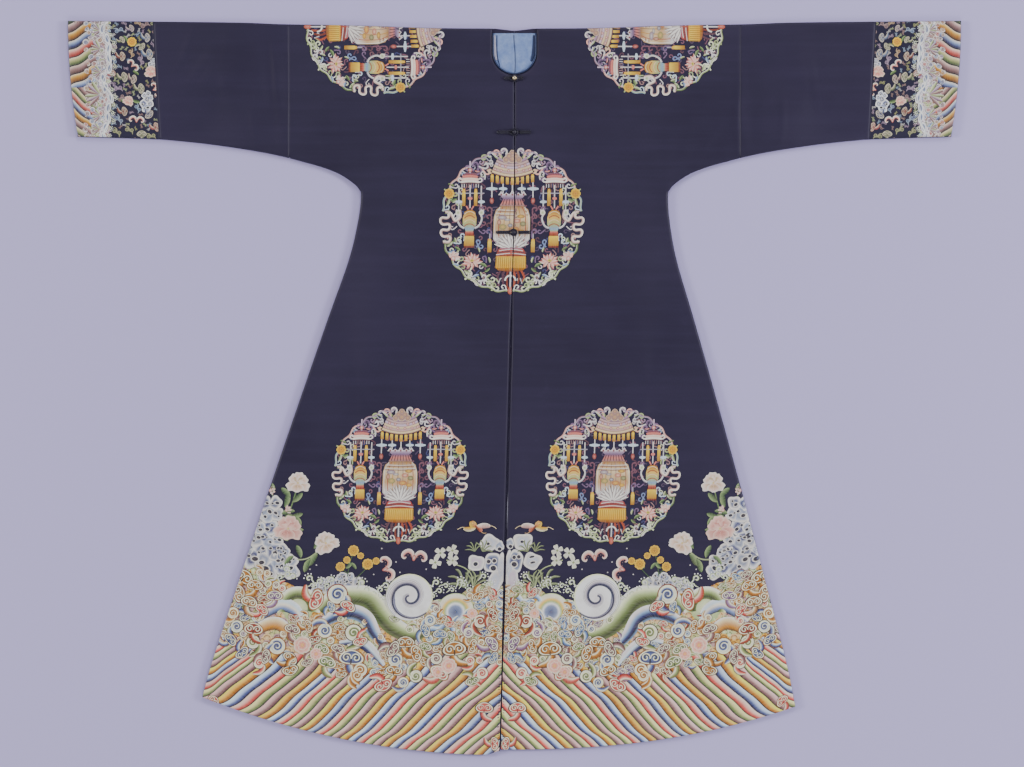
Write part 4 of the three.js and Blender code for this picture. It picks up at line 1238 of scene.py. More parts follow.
STRIPE_FEET = np.array([  # number of the stripe, where it starts along the hem
    (-1, -16), (2.5, 40), (7.5, 134), (12.5, 218), (17.5, 296), (22.5, 376), (27.5, 458),
    (32.5, 548), (52.5, 880),
], float)
STRIPE_ANGLES = np.array([(0, 43), (200, 43), (400, 49), (600, 48), (900, 43)], float)
STRIPE_FOOT_ANGLE = 17  # where they start at the outer hem and side edge
STRIPE_BEND = 50  # within this run they steepen
STRIPE_TOPS = np.array([
    (0, -518), (100, -512), (200, -540), (300, -545), (350, -524), (415, -508), (480, -500),
    (515, -476), (560, -450),
], float)
SEA_TOPS = np.array([
    (0, -384), (40, -380), (70, -392), (90, -404), (130, -412), (170, -416), (225, -420),
    (250, -410), (300, -400), (350, -392), (393, -388), (430, -372), (455, -348), (560, -342),
], float)
STRIPE_PLACES = np.array([0.03, 0.2, 0.44, 0.66, 0.84, 0.95])


def stripe_top(across):
    return np.interp(across, STRIPE_TOPS[:, 0], STRIPE_TOPS[:, 1])


def sea_top(across):
    return np.interp(across, SEA_TOPS[:, 0], SEA_TOPS[:, 1])


def hem_field(side):
    """Above 0 where stitches keep clear of the garment's edge."""
    return lambda x, y: inside(side, side * x, y) - 0.4


def stripes(h, side):
    draw = np.random.default_rng(31 + side)
    d = np.concatenate([np.arange(-9, 12, 1.5), np.linspace(12, 250, 48)])
    curves = []
    corner_up = HEM[side][0]
    corner = float(edge_across(corner_up))
    for k in range(-1, 50):
        foot = float(np.interp(k, STRIPE_FEET[:, 0], STRIPE_FEET[:, 1]))
        rise = math.tan(math.radians(np.interp(foot, STRIPE_ANGLES[:, 0], STRIPE_ANGLES[:, 1])))
        flat = rise - math.tan(math.radians(STRIPE_FOOT_ANGLE))
        flat *= float(smooth((foot - 260) / 260))
        wave = 2.8 * np.sin(TAU * d / 86 + foot / 130) + 0.6 * np.sin(TAU * d / 37 + foot / 40)
        run = np.maximum(d, 0)
        up = d * rise - flat * STRIPE_BEND * (1 - np.exp(-run / STRIPE_BEND)) + wave
        if foot <= corner:
            start, low = foot, float(hem_curve(side, foot))
        else:  # the outer stripes start up the side edge
            low = corner_up + 0.86 * (foot - corner)
            start = float(edge_across(low))
        curves.append(np.column_stack([start - d, low + up]))
    for k in range(len(curves) - 1):
        tones = STRIPES[k % 5]
        inner, outer = curves[k], curves[k + 1]
        t = STRIPE_PLACES
        x = outer[:, :1] + (inner - outer)[:, :1] * t
        y = outer[:, 1:] + (inner - outer)[:, 1:] * t
        middle = [(2 * tones[0] + tones[1]) / 3, (tones[1] + tones[2]) / 2]
        shades = np.vstack([tones[0] * 1.12, tones[0] * 1.08, middle, tones[2], tones[3] * 0.8])
        shades = shades * (1.1 + 0.1 * draw.uniform(-1, 1))
        u = t * 14 + 0 * x
        v = d[:, None] * 1.35 + t * 4
        h.grid(x * side, y, 0.7 * np.sin(math.pi * t) + 0 * x, shades, u, v, 0)
    hem = hem_field(side)
    h.keep(lambda x, y: np.minimum(stripe_top(np.abs(x)) - y, hem(x, y)))


def sea_ground(h, draw):
    """What lies between the motifs of the sea: small waves, cut along the stripes and the shore."""
    ground = h.at(0, 0)
    ground.store = []
    scales(ground, (0, 570, -575, -330), 10, [SAGE, BEIGE, GREEN, BEIGE, MAUVE, GOLD], draw, 0)

    def field(x, y):
        x = np.abs(x)
        high = sea_top(x) - 2 + 3 * np.abs(np.sin(x / 9))
        return np.minimum(high - y, y - (stripe_top(x) - 5))

    ground.keep(field)
    h.store.extend(ground.store)


BIG_WAVES = [  # across, up, radius kept clear of small clouds
    (180, -408, 46), (300, -420, 24), (262, -420, 24), (235, -450, 22), (205, -474, 20),
    (393, -408, 34), (352, -432, 16), (430, -438, 22), (442, -470, 18), (92, -424, 30),
    (330, -452, 14), (282, -448, 14), (255, -476, 16), (238, -505, 12), (268, -510, 12),
]
CLOUDS = [  # across, up, size, colours, turn; the larger clouds of the sea
    (498, -368, 17, 3, 0.5), (522, -360, 13, 0, 2.0), (476, -384, 13, 3, 0.2), (508, -398, 15, 7, 1.4),
    (530, -410, 13, 3, 0.3), (486, -416, 14, 7, 0.2), (438, -404, 13, 6, 0.0), (516, -436, 12, 3, 1.0),
    (462, -430, 12, 1, 0.8), (492, -442, 11, 0, 2.6), (508, -462, 13, 0, 0.4), (476, -468, 15, 8, 0.2),
    (360, -410, 17, 1, 1.8), (318, -400, 20, 0, 0.0), (298, -424, 13, 1, 0.6), (330, -424, 10, 5, 1.2),
    (340, -470, 15, 0, 2.2), (402, -468, 13, 4, 0.3), (372, -462, 11, 3, 1.4), (285, -474, 17, 2, 0.1),
    (272, -490, 12, 1, 2.8), (314, -506, 12, 4, 0.5), (430, -500, 17, 0, 0.4), (452, -520, 12, 4, 1.6),
    (405, -524, 13, 3, 0.8), (476, -492, 14, 2, 0.0), (345, -506, 13, 2, 0.3), (288, -524, 20, 0, 0.0),
    (270, -546, 14, 3, 0.4), (210, -505, 14, 4, 2.2), (186, -494, 15, 3, 0.0), (204, -526, 15, 0, 0.3),
    (166, -514, 14, 3, 1.2), (148, -502, 11, 2, 0.2), (126, -524, 12, 4, 0.6), (92, -507, 19, 3, 0.0),
    (58, -500, 12, 3, 1.8), (62, -528, 10, 1, 0.4), (22, -496, 14, 6, 0.9), (18, -522, 11, 5, 2.0),
    (44, -452, 14, 8, 0.2), (22, -440, 12, 8, 1.2), (16, -468, 11, 3, 0.4), (66, -474, 11, 6, 2.8),
    (120, -478, 12, 5, 0.0), (150, -470, 12, 5, 1.0), (140, -450, 12, 5, 0.5), (100, -482, 10, 2, 1.4),
]
LOOSE = [  # across, up, size, colours, turn; single clouds that lie over the stripes
    (497, -512, 12, 0, 2.4), (463, -532, 12, 1, 0.3), (404, -545, 13, 3, 2.8), (334, -532, 15, 2, 0.4),
    (276, -556, 13, 3, 0.2), (226, -574, 15, 1, 2.6), (206, -548, 14, 3, 0.2), (164, -558, 13, 2, 2.8),
    (120, -552, 16, 1, 0.5), (56, -566, 12, 2, 2.9), (38, -552, 12, 1, 0.3), (32, -620, 14, 1, 0.1),
    (12, -688, 11, 1, 1.5), (188, -570, 11, 0, 0.8), (520, -488, 12, 0, 0.7), (548, -606, 11, 1, 0.9),
]
BLOSSOMS = [(382, -498, 17), (102, -538, 15), (122, -550, 12), (355, -515, 12), (60, -437, 10)]


def sea(h, draw):
    """The rolling sea between rocks and stripes, from the centre outwards."""
    sea_ground(h, draw)
    green = [WHITE[0], SAGE[0], SAGE[1], SAGE[2], SAGE[3], SAGE[2]]
    blue = [WHITE[0], WHITE[1], SKY[1], BLUE[2], BLUE[3], SKY[1]]
    mound = h.at(393, -402)
    mound.dot(0, -24, 30, [green[2], green[1]], 1, 24)
    mound.ribbon(arc(0, -26, 31, math.pi + 0.2, -math.pi - 0.4, 30), 24, green, 3, 0.3)
    h.patch(circle(36, 40) + (92, -434), [SAGE[1], CREAM, PEONY[0], GOLD[0], SAGE[1], WHITE[0],
                                          ROCK[1], ROCK[2]], 3,
            rings=[1, 0.95, 0.8, 0.66, 0.56, 0.44, 0.32, 0.02])
    swell(h, [(352, -430), (322, -404), (290, -402), (256, -408), (232, -436), (206, -464),
              (172, -478), (146, -470)], 40, green, 4)
    swell(h, [(352, -460), (322, -442), (290, -434), (262, -446), (244, -476), (222, -502)],
          29, blue, 5)
    swell(h, [(312, -494), (288, -490), (262, -498), (240, -520), (226, -538)], 21,
          [WHITE[0], WHITE[1], SKY[0], BLUE[2], BLUE[3]], 5)
    swell(h, [(476, -452), (452, -432), (424, -420), (398, -430), (384, -452)], 27,
          [WHITE[0], SKY[0], PEONY[0], BLUE[1], BLUE[3]], 4)
    swell(h, [(482, -486), (462, -464), (434, -456), (412, -470), (404, -490)], 25,
          [WHITE[0], BEIGE[0], BEIGE[1], GOLD[1], BEIGE[3]], 5)
    for x, y, r in ((128, -440, 14), (108, -458, 13), (74, -452, 12), (134, -466, 12),
                    (158, -452, 10), (168, -492, 10), (42, -414, 11), (60, -404, 10),
                    (22, -404, 11)):
        h.at(x, y).ribbon(arc(0, -r, r, math.pi, -math.pi, 14), r * 0.9,
                          [WHITE[0], SKY[0], SKY[1], SKY[3]], 4, 0.2)
    for x, y, r in ((58, -440, 9), (120, -450, 10), (84, -462, 10), (136, -424, 8), (46, -422, 8)):
        curl(h.at(x, y, 0.4 + x, r, 1 - 2 * (x % 4 == 0)), SKY, WHITE[0], 5, True)
    great_wave(h.at(181, -406, 0, 43), 7)
    for x in np.arange(126, 172, 4.5):  # spray that falls from the great wave
        h.ribbon([(x, -432 - 0.3 * (x - 126)), (x - 1, -466)], 2.2,
                 (WHITE[0], SAGE[1], SKY[0])[int(x) % 3], 4)
    placed = [(x, y, size) for x, y, size, _, _ in CLOUDS + LOOSE] + BIG_WAVES + BLOSSOMS
    edges = [GOLD[3], BEIGE[2], GOLD[2], RUST[2], MAUVE[3]]
    for k, (x, y, size, pick, turn) in enumerate(CLOUDS + LOOSE):
        spot = h.at(x, y, turn + draw.uniform(-0.15, 0.15), 0.92 * size, 1 - 2 * (k % 2))
        if k % 3 == 1:
            curl(spot.at(0, 0, 0, 1.1), CLOUD_SETS[pick], edges[k % 5], 8 + k % 3, True)
        else:
            ruyi(spot, CLOUD_SETS[pick], edges[k % 5], 8 + k % 3)
    for _ in range(6000):
        x, size = draw.uniform(4, 556), draw.uniform(7, 12)
        y = draw.uniform(stripe_top(x) - 14, sea_top(x) - 9)
        if any(math.hypot(x - a, y - b) < 0.88 * c + 0.8 * size for a, b, c in placed):
            continue
        placed.append((x, y, size))
        tones = CLOUD_SETS[draw.integers(len(CLOUD_SETS))]
        edge = edges[draw.integers(5)]
        spot = h.at(x, y, draw.uniform(-0.6, 0.9) + math.pi * draw.integers(2), size,
                    1 - 2 * draw.integers(2))
        if size > 8.5:
            ruyi(spot.at(0, 0, 0, 0.86), tones, edge, 6)
        else:
            curl(spot, tones, edge, 6 + draw.uniform(0, 1), True)
    for x, y, size in BLOSSOMS:
        flower(h.at(x, y, 0.4, size), 7, PEONY, YELLOW[1], 12, 2)
    for x, y, turn, size in (
        (428, -368, -0.5, 9), (414, -362, 0.3, 8), (352, -376, 0.2, 9), (338, -384, -0.3, 8),
        (262, -392, 0.5, 8), (236, -392, -0.4, 9), (124, -394, 0.6, 9), (112, -384, 1.0, 8),
        (66, -392, -0.5, 9), (78, -382, 0.2, 8), (26, -380, 0.4, 8), (136, -404, 0.2, 8),
        (366, -384, 0.7, 8), (248, -400, 0.1, 8), (230, -408, 0.9, 7), (417, -352, 0.1, 10),
        (404, -366, 0.8, 9), (373, -370, -0.2, 10), (330, -372, 0.5, 9), (272, -378, 0.0, 10),
        (226, -384, 0.7, 10), (216, -396, 1.3, 9), (130, -378, 0.2, 10), (142, -392, -0.6, 9),
        (84, -376, 0.0, 10), (40, -366, 0.3, 9), (30, -382, -0.4, 9), (100, -392, 0.5, 8),
    ):
        foam(h.at(x, y, turn, size, 1 - 2 * (int(x) % 2)), 6)


CENTRE_ROCKS = {  # by side: across, up, half width, half height, colours, holes in the lobe
    -1: [
        (8, -352, 9, 34, 1, []), (17, -374, 13, 22, 1, []),
        (24, -340, 17, 21, 2, [(7.3, 3, 3.6, 1), (-3.5, 4.2, 3.6, 1), (-2, -10, 5.2, 0.9)]),
        (12, -307, 10, 10, 0, [(-1, -6, 3.6, 0.9)]), (30, -301, 19, 16, 1, [(3, -2, 3.0, 0.9)]),
        (55, -340, 17, 16, 3, [(1, -2, 4.2, 0.9)]),
    ],
    1: [
        (8, -350, 9, 34, 1, []), (15, -370, 13, 24, 3, []),
        (20, -336, 16, 22, 2, [(-2.5, 7, 3.4, 1), (6.5, 8, 3.4, 1), (-2, -6.5, 5, 0.9)]),
        (8, -302, 9, 10, 0, [(2, -6, 3.4, 0.9)]), (34, -299, 20, 17, 1, [(-2, 0, 3.2, 0.8)]),
        (53, -336, 18, 17, 1, [(-1, 8, 5, 0.4), (1, -3, 5, 0.4)]),
    ],
}


def shore(h, side):
    """Rocks, plants, a butterfly and bats above the sea."""
    other = 0 if side < 0 else 40
    tints = [(ROCK[0], ROCK[1]), (WHITE[1], ROCK[0]), (ROCK[1], BLUE[2]), (WHITE[1], LILAC[0])]
    for k, (x, y, wide, tall, tint, holes) in enumerate(CENTRE_ROCKS[side]):
        boulder(h, x, y, wide, tall, tints[tint], holes, k + other, 2 + 0.12 * k)
    rock(h.at(446, -330, 0.25, 34), 3 + other)
    rock(h.at(420, -338, -0.6, 27), 8 + other)
    rock(h.at(462, -258, 0.5, 36), 5 + other)
    rock(h.at(478, -306, 0.2, 32), 6 + other)
    rock(h.at(326, -382, 1.2, 20), 11 + other, 0.3)
    rock(h.at(290, -382, -0.9, 23), 12 + other, 0.3)
    rock(h.at(352, -386, 0.8, 15), 14 + other, 0.3)
    # Peonies up the side seam.
    stem(h, [(436, -300), (414, -240), (400, -190)], 2.6, LEAF[1], 2)
    stem(h, [(426, -262), (440, -224), (450, -206)], 2.0, LEAF[1], 2)
    stem(h, [(424, -330), (380, -332), (345, -306)], 2.6, SAGE[1], 2)
    for x, y, turn, size in (
        (414, -214, 0.8, 13), (410, -222, 2.4, 13), (424, -232, 1.8, 14), (404, -240, -0.2, 13),
        (412, -250, 2.9, 12), (398, -256, 0.2, 13), (386, -276, -0.3, 13), (392, -268, 1.0, 11),
        (390, -330, 1.2, 13), (372, -332, -1.2, 14), (404, -326, -0.8, 12), (358, -322, -1.0, 14),
        (366, -312, 2.0, 11), (436, -290, 3.0, 11), (448, -206, 1.5, 10), (428, -282, 4.0, 10),
    ):
        leaf(h.at(x, y, turn, size), (LEAF, SAGE)[int(x) % 2], 3)
    peony(h.at(400, -186, 0.1, 19), True, 4)
    peony(h.at(416, -274, 0.2, 23), False, 4)
    peony(h.at(343, -302, -0.4, 20), True, 4)
    peony_bud(h.at(452, -200, 1.6, 8))
    peony_bud(h.at(420, -238, 1.2, 8))
    # Daisies over the middle rocks.
    stem(h, [(300, -366), (296, -340), (290, -320)], 1.8, LEAF[2], 2)
    stem(h, [(298, -362), (312, -350), (318, -344)], 1.8, LEAF[2], 2)
    stem(h, [(284, -370), (268, -354), (262, -344)], 1.8, LEAF[2], 2)
    for x, y, size in ((290, -316, 10.5), (314, -347, 9), (262, -342, 10.5), (246, -336, 7),
                       (302, -334, 7), (276, -326, 6.5)):
        flower(h.at(x, y, x, size), 9, YELLOW, RUST[2], 4, 1)
    for x, y, turn in ((294, -344, 0.6), (304, -350, 2.4), (272, -350, 2.2), (284, -352, 0.9)):
        leaf(h.at(x, y, turn, 8), LEAF, 3)
    bat(h.at(174, -330, 0.15, 17), 4)
    bat(h.at(228, -352, 1.25, 17), 4)
    orchid(h.at(74, -388, -0.2, 30), 3)
    orchid(h.at(60, -386, 0.7, 24), 3)
    orchid(h.at(44, -318, 0.6, 17), 5)
    orchid(h.at(58, -318, -0.2, 15), 5)
    stem(h, [(60, -390), (63, -364), (76, -350), (96, -342), (112, -334)], 2.0, SAGE[1], 3)
    for x, y, turn in ((101, -316, 0.4), (100, -335, 0.9), (133, -339, 0.2), (124, -321, 0.7)):
        white_bloom(h.at(x, y, turn, 11.5), 4)
    butterfly(h.at(56, -272, 0.1, 20, -1), 8)
    for x, y in ((150, -352), (208, -338), (250, -362), (360, -344), (200, -358), (318, -300),
                 (236, -312), (372, -352)):
        h.dot(x, y, 1.4, WHITE[1], 1)


def white_bloom(h, layer):
    """A small pale flower of four petals."""
    for k in range(4):
        petal = h.at(0, 0, k * math.pi / 2)
        petal.ribbon([(0.1, 0), (0.5, 0), (0.85, 0), (1.0, 0)], [0.3, 0.72, 0.8, 0.55],
                     [WHITE[0], SAGE[0], WHITE[0]], layer)
    h.patch(circle(0.2, 8), [SAGE[2], SAGE[1]], layer + 1)


# --- Cuff bands ---------------------------------------------------------------------------------

FOAM_LINE = 786.0
CUFF_STRIPE_STEPS = {1: 17.4, -1: 14.2}  # to the next stripe, above and below the chevrons' point


def cuff_stripes(h, side):
    """Chevrons of stripes at the end of the sleeve, with small mounds and a line of foam."""
    apex = 576.0
    run = np.linspace(0, 130, 30)
    for flip in (-1, 1):
        angle = math.radians(27 if flip > 0 else 40)
        curves = []
        for k in range(-6, 14):
            start = apex + flip * k * CUFF_STRIPE_STEPS[flip]
            wave = 2.2 * np.sin(TAU * run / 44 + 0.5 * k)
            curves.append(np.column_stack([862 - run, start + flip * run * math.tan(angle) + wave]))
        own = Hoop()
        for k in range(len(curves) - 1):
            tones = STRIPES[(k + (2 if flip > 0 else 0)) % 5]
            t = np.array([0.05, 0.28, 0.52, 0.74, 0.95])
            a, b = curves[k], curves[k + 1]
            x = a[:, :1] + (b - a)[:, :1] * t
            y = a[:, 1:] + (b - a)[:, 1:] * t
            shades = np.vstack([CREAM, tones])[::-flip] * 0.9
            own.grid(x * side, y, 0.4 * np.sin(math.pi * t) + 0 * x, shades, t * 9 + 0 * x,
                     run[:, None] + t, 0)

        def field(x, y, flip=flip):
            edge = FOAM_LINE + 24 + 6 * np.sin(y / 15) - np.abs(x)
            return np.minimum(flip * (y - apex), -edge)

        own.keep(field)
        h.store.extend(own.store)


CUFF_MOTIFS = [  # kind, across, up, size, colours, turn
    ("wisp", 762, 686, 9, 5, 0.2), ("ruyi", 738, 690, 8, 6, 1.2), ("wisp", 712, 696, 9, 4, 0.0),
    ("wisp", 694, 700, 8, 2, 0.4), ("disc", 737, 664, 9, 3, 0.0), ("ruyi", 756, 668, 8, 2, 1.0),
    ("ruyi", 708, 672, 10, 5, 1.6), ("wisp", 692, 680, 8, 4, 1.4), ("ruyi", 718, 655, 9, 2, 2.2),
    ("ruyi", 772, 655, 8, 6, 0.5), ("ruyi", 756, 636, 10, 8, 1.5), ("wisp", 738, 642, 8, 7, 1.6),
    ("ruyi", 704, 640, 12, 5, 1.5), ("wisp", 720, 628, 9, 6, 1.6), ("bat", 736, 618, 9, 1, 0.8),
    ("wisp", 772, 630, 9, 5, 1.8), ("wisp", 690, 640, 8, 4, 1.5), ("flower", 700, 606, 11, 1, 0.0),
    ("ruyi", 752, 596, 11, 2, 1.4), ("ruyi", 734, 592, 10, 4, 1.8), ("rock", 698, 622, 8, 0, 0.4),
    ("ruyi", 720, 574, 11, 2, 1.5), ("bat", 694, 572, 9, 1, 1.2), ("wisp", 764, 574, 9, 6, 0.4),
    ("flower", 744, 550, 9, 1, 0.5), ("wisp", 758, 556, 8, 4, 2.8), ("rock", 708, 548, 15, 0, 0.1),
    ("ruyi", 704, 524, 11, 0, 2.4), ("wisp", 726, 536, 8, 5, 1.4), ("ruyi", 752, 530, 10, 8, 1.4),
    ("wisp", 762, 514, 9, 5, 1.2), ("bat", 728, 512, 10, 1, 0.1), ("ruyi", 690, 500, 10, 1, 1.3),
    ("wisp", 742, 494, 9, 2, 0.8), ("ruyi", 718, 486, 11, 2, 0.0), ("wisp", 700, 482, 9, 2, 0.4),
    ("wisp", 766, 490, 9, 2, 1.0), ("ruyi", 756, 474, 9, 5, 0.3), ("wisp", 735, 474, 8, 4, 0.1),
    ("ruyi", 774, 604, 8, 1, 1.0), ("wisp", 776, 548, 8, 2, 1.5), ("wisp", 774, 520, 8, 0, 1.0),
    ("leaf", 746, 664, 7, 2, 1.0), ("leaf", 724, 600, 7, 2, 0.6), ("leaf", 712, 598, 8, 2, 2.0),
    ("leaf", 752, 548, 7, 2, 0.4), ("leaf", 736, 552, 8, 2, 3.4), ("wisp", 726, 700, 7, 7, 0.8),
]


def cuff_band(h, side, draw):
    m = h.at(0, 0, 0, 1, side)
    placed = []
    for _ in range(900):  # a sea of small curls between the foam line and the stripes
        x, y, size = draw.uniform(FOAM_LINE - 2, 826), draw.uniform(478, 704), draw.uniform(4.5, 7)
        if any(math.hypot(x - a, y - b) < 0.8 * (size + c) for a, b, c in placed):
            continue
        placed.append((x, y, size))
        tones = CLOUD_SETS[draw.integers(len(CLOUD_SETS))] * 0.9
        edge = (GOLD[3], BEIGE[2], MAUVE[3])[draw.integers(3)]
        curl(m.at(x, y, draw.uniform(0, TAU), size), tones, edge, 2, False, WHITE[1])
    for y, size in ((562, 18), (606, 9), (650, 12), (522, 10), (496, 8), (686, 9)):
        for k in range(6):
            fan = m.at(FOAM_LINE + 14 - y % 4, y, -0.9 + 0.36 * k + y % 3 * 0.1, size)
            fan.ribbon([(0.2, 0), (1.0, 0), (1.6, 0)], [0.2, 0.42, 0.2],
                       [(WHITE[1], SAGE[0])[k % 2], (MAUVE[1], LILAC[1], SAGE[1])[k % 3], MAUVE[3]], 4)
    ground = m.at(0, 0)
    ground.store = []
    scales(ground, (FOAM_LINE - 2, 842, 470, 716), 6.5, [SAGE, WHITE, MAUVE, LILAC, SKY], draw, 0)
    ground.keep(lambda x, y: FOAM_LINE + 30 + 6 * np.sin(y / 15) - np.abs(x))
    h.store.extend(ground.store)
    y = np.linspace(474, 712, 120)
    line = np.column_stack([FOAM_LINE - 3 + 6 * np.sin(y / 15) + 4 * np.sin(y / 8.3), y])
    m.ribbon(line, 4 + 2 * np.sin(y / 11), [WHITE[0], WHITE[0], ROCK[1]], 5, 0.5)
    for k, y0 in enumerate(np.arange(480, 706, 19)):
        lobe = m.at(np.interp(y0, y, line[:, 0]) + 1, y0, 1.35 + 0.4 * (k % 2))
        lobe.patch(circle(11.5, 20, 0.46), [LILAC[2], WHITE[0], WHITE[0], ROCK[1], ROCK[2]], 6,
                   rings=[1, 0.9, 0.7, 0.5, 0.02])
    for k, y0 in enumerate(np.arange(478, 708, 6.5)):  # the scalloped inner side of the foam
        x0 = np.interp(y0, y, line[:, 0]) + 4.5
        m.patch(circle(4.6, 14) + (x0, y0), [LILAC[2], WHITE[0], LILAC[0]], 4.5, rings=[1, 0.8, 0.02])
        m.dot(x0, y0, 1.3, (SAGE[2], LILAC[2])[k % 2], 5)
    for y0 in np.arange(482, 706, 15):
        x0 = FOAM_LINE - 11 + 4.5 * math.sin(y0 / 15) + 3.5 * math.sin(y0 / 8.3)
        foam(m.at(x0, y0, 1.8 + draw.uniform(-0.5, 0.5), 5.5), 4)
    placed = [(x, y, size * 1.2) for _, x, y, size, _, _ in CUFF_MOTIFS]
    for _ in range(3500):  # small clouds between the larger motifs
        x, y, size = draw.uniform(690, 774), draw.uniform(476, 704), draw.uniform(3.6, 5.6)
        if any(math.hypot(x - a, y - b) < 0.84 * (c + size) for a, b, c in placed):
            continue
        placed.append((x, y, size))
        tones = (WHITE, LILAC, SAGE, MAUVE, SKY, GREEN)[draw.integers(6)] * 0.66
        wisp(m.at(x, y, draw.uniform(0, TAU), size * 0.85), tones, 1)
    for kind, x, y, size, pick, turn in CUFF_MOTIFS:
        spot = m.at(x, y, turn, size, 1 - 2 * (int(y) % 2))
        tones = CLOUD_SETS[pick] * 0.66 + WHITE[2] * 0.12
        if kind == "ruyi":
            ruyi(spot.at(0, 0, 0, 0.68), tones, tones[3], 2, CREAM * 0.82)
        elif kind == "wisp":
            wisp(spot.at(0, 0, 0, 0.8), tones, 2)
        elif kind == "disc":
            flower(spot, 9, YELLOW, RUST[1], 3, 1)
        elif kind == "bat":
            bat(spot, 3)
        elif kind == "flower":
            peony(spot, False, 3)
        elif kind == "rock":
            rock(spot, int(x), 2)
        else:
            leaf(spot, LEAF, 2)


# --- Neck and closures --------------------------------------------------------------------------


def tube(path, radius, around=10, squash=1.0, strands=0, twist=0.0):
    """Points and quads of a cord along a path. Strands give it the lobes of a laid cord."""
    path = np.asarray(path, float)
    heading = np.gradient(path, axis=0)
    heading /= np.linalg.norm(heading, axis=1)[:, None]
    flat = np.cross(heading, (0, 0, 1))
    flat /= np.maximum(np.linalg.norm(flat, axis=1), 1e-6)[:, None]
    up = np.cross(flat, heading)
    run = run_along(path)
    turn = TAU * np.arange(around) / around
    radius = np.broadcast_to(radius, len(path))[:, None]
    lobes = 1 + (0.09 * np.cos(strands * turn + run[:, None] * twist) if strands else 0)
    across = (radius * lobes * np.cos(turn))[..., None] * flat[:, None]
    rise = (radius * lobes * squash * np.sin(turn))[..., None] * up[:, None]
    points = (path[:, None] + across + rise).reshape(-1, 3)
    index = np.arange(len(points)).reshape(len(path), around)
    faces = quads(np.concatenate([index, index[:, :1]], 1))[:, ::-1]
    ends = []
    for row, flip in ((index[0], 1), (index[-1], -1)):
        ring = row[::flip]
        ends += [(ring[0], ring[k], ring[k + 1]) for k in range(1, around - 1)]
    return points, faces, np.array(ends)


def cord_object(name, paths, material, slot, **shape):
    """Cords joined in one mesh, each a (path, radius) pair."""
    all_points, all_faces, start = [], [], 0
    for path, radius in paths:
        points, faces, ends = tube(path, radius, **shape)
        all_points.append(points)
        all_faces.append(np.vstack([triangles(faces), ends]) + start)
        start += len(points)
    return mesh_object(name, np.vstack(all_points), np.vstack(all_faces), material)


def neck_line(radius, top):
    """The U of the neck as seen: from the upper left, round the front, to the upper right."""
    t = np.linspace(math.pi, TAU, 60)
    bow = polar(radius, t) + (0, NECK_CENTRE_Y)
    left = np.column_stack([np.full(9, -radius), np.linspace(top, NECK_CENTRE_Y, 10)[:-1]])
    right = np.column_stack([np.full(9, radius), np.linspace(NECK_CENTRE_Y, top, 10)[1:]])
    return np.vstack([left, bow, right])


NECK_TOP = SHOULDER_Y - 5 - BACK_NECK_DIP
BINDING_RADIUS = 1.4
LINING_HALF_WIDTH = 42


def neck_pieces():
    radius = NECK_HALF_WIDTH - BINDING_RADIUS - 0.7
    line = neck_line(radius, NECK_TOP)
    path = np.column_stack([line, np.full(len(line), TOP_Z - BINDING_RADIUS)])
    piping = cord_object("piping_neck", [(path, BINDING_RADIUS)], BINDING_AND_SHADE, "binding")
    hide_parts("neck_binding")

    low_rows = NECK_CENTRE_Y - LINING_HALF_WIDTH * np.cos(np.linspace(0, math.pi / 2, 24))
    rows = np.concatenate([low_rows, np.arange(647, NECK_TOP - 2, 3), [NECK_TOP]])
    bow = np.sqrt(np.maximum(LINING_HALF_WIDTH**2 - (NECK_CENTRE_Y - rows) ** 2, 0.5))
    half = np.where(rows < NECK_CENTRE_Y, bow, LINING_HALF_WIDTH)
    x = half[:, None] * np.linspace(-1, 1, 60)
    y = rows[:, None] + 0 * x
    seam = 1.5 * np.sin(y / 19)
    puckers = 0.10 * np.sin(x / 2.6 + 1.3 * np.sin(y / 13)) * np.sin(y / 21 + x / 31)
    top = 5.0 - 1.1 * np.exp(-(((x - seam) / 1.0) ** 2)) + puckers
    top += 0.5 * np.exp(-(((np.abs(x - seam) - 4) / 2.6) ** 2))
    top += 0.5 * np.exp(-(((x + 26 - 0.12 * (y - 640)) / 4) ** 2))
    top += 0.4 * np.exp(-(((x - 29 - 0.1 * (y - 640)) / 5) ** 2))
    made = slab("lining_neck", x, y, np.full_like(top, FRONT_Z), top, LINING)
    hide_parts("neck_lining")

    # Seen inside the neck: the seam, the lining's turned edges, and dark strips behind them that are
    # painted shade: a thin line at the left and a band at the right.
    rows = np.linspace(588, NECK_TOP - 3, 40)
    line = np.column_stack([1.5 * np.sin(rows / 19), rows, np.full(40, 5.1)])
    cord_object("seam_lining", [(line, 0.55)], BINDING_AND_SHADE, "lining", squash=0.5)
    for name, top_x, low_points, half, material in (
        ("turned_edge_left", -38.5, [(-38.5, 655), (-37.5, 640), (-35, 629)], 2.9, FACING),
        # The thin dark line below and the band after it are painted shade on the lining, not cloth.
        ("line_left", -33.8, [(-34, 655), (-33, 636), (-28, 617)], 1.1, BINDING_AND_SHADE),
        ("band_right", 37.5, [(38, 660), (36.5, 642), (32, 627)], 3.6, BINDING_AND_SHADE),
    ):
        line = spline([(top_x, NECK_TOP - 4), *low_points], 24)
        path = np.column_stack([line, np.full(24, 5.5)])
        cord_object(name, [(path, taper(24, half, 0.5))], material, "lining", squash=0.25)


FACING_LOW_Y, FACING_HIGH_Y, FACING_Z = -306, -168, 5.6


def facing_edge():
    """The pale edge of the facing, where it shows beside the slit."""
    rows = np.linspace(FACING_LOW_Y, FACING_HIGH_Y, 50)
    wander = slit_half(rows) + 0.7 + 0.3 * np.sin(rows / 17)
    edge = np.column_stack([wander + lean_at(rows), rows, np.full(50, FACING_Z)])
    cord_object("facing_edge", [(edge, taper(50, 0.75, 0.3))], FACING, "lining", squash=0.6)


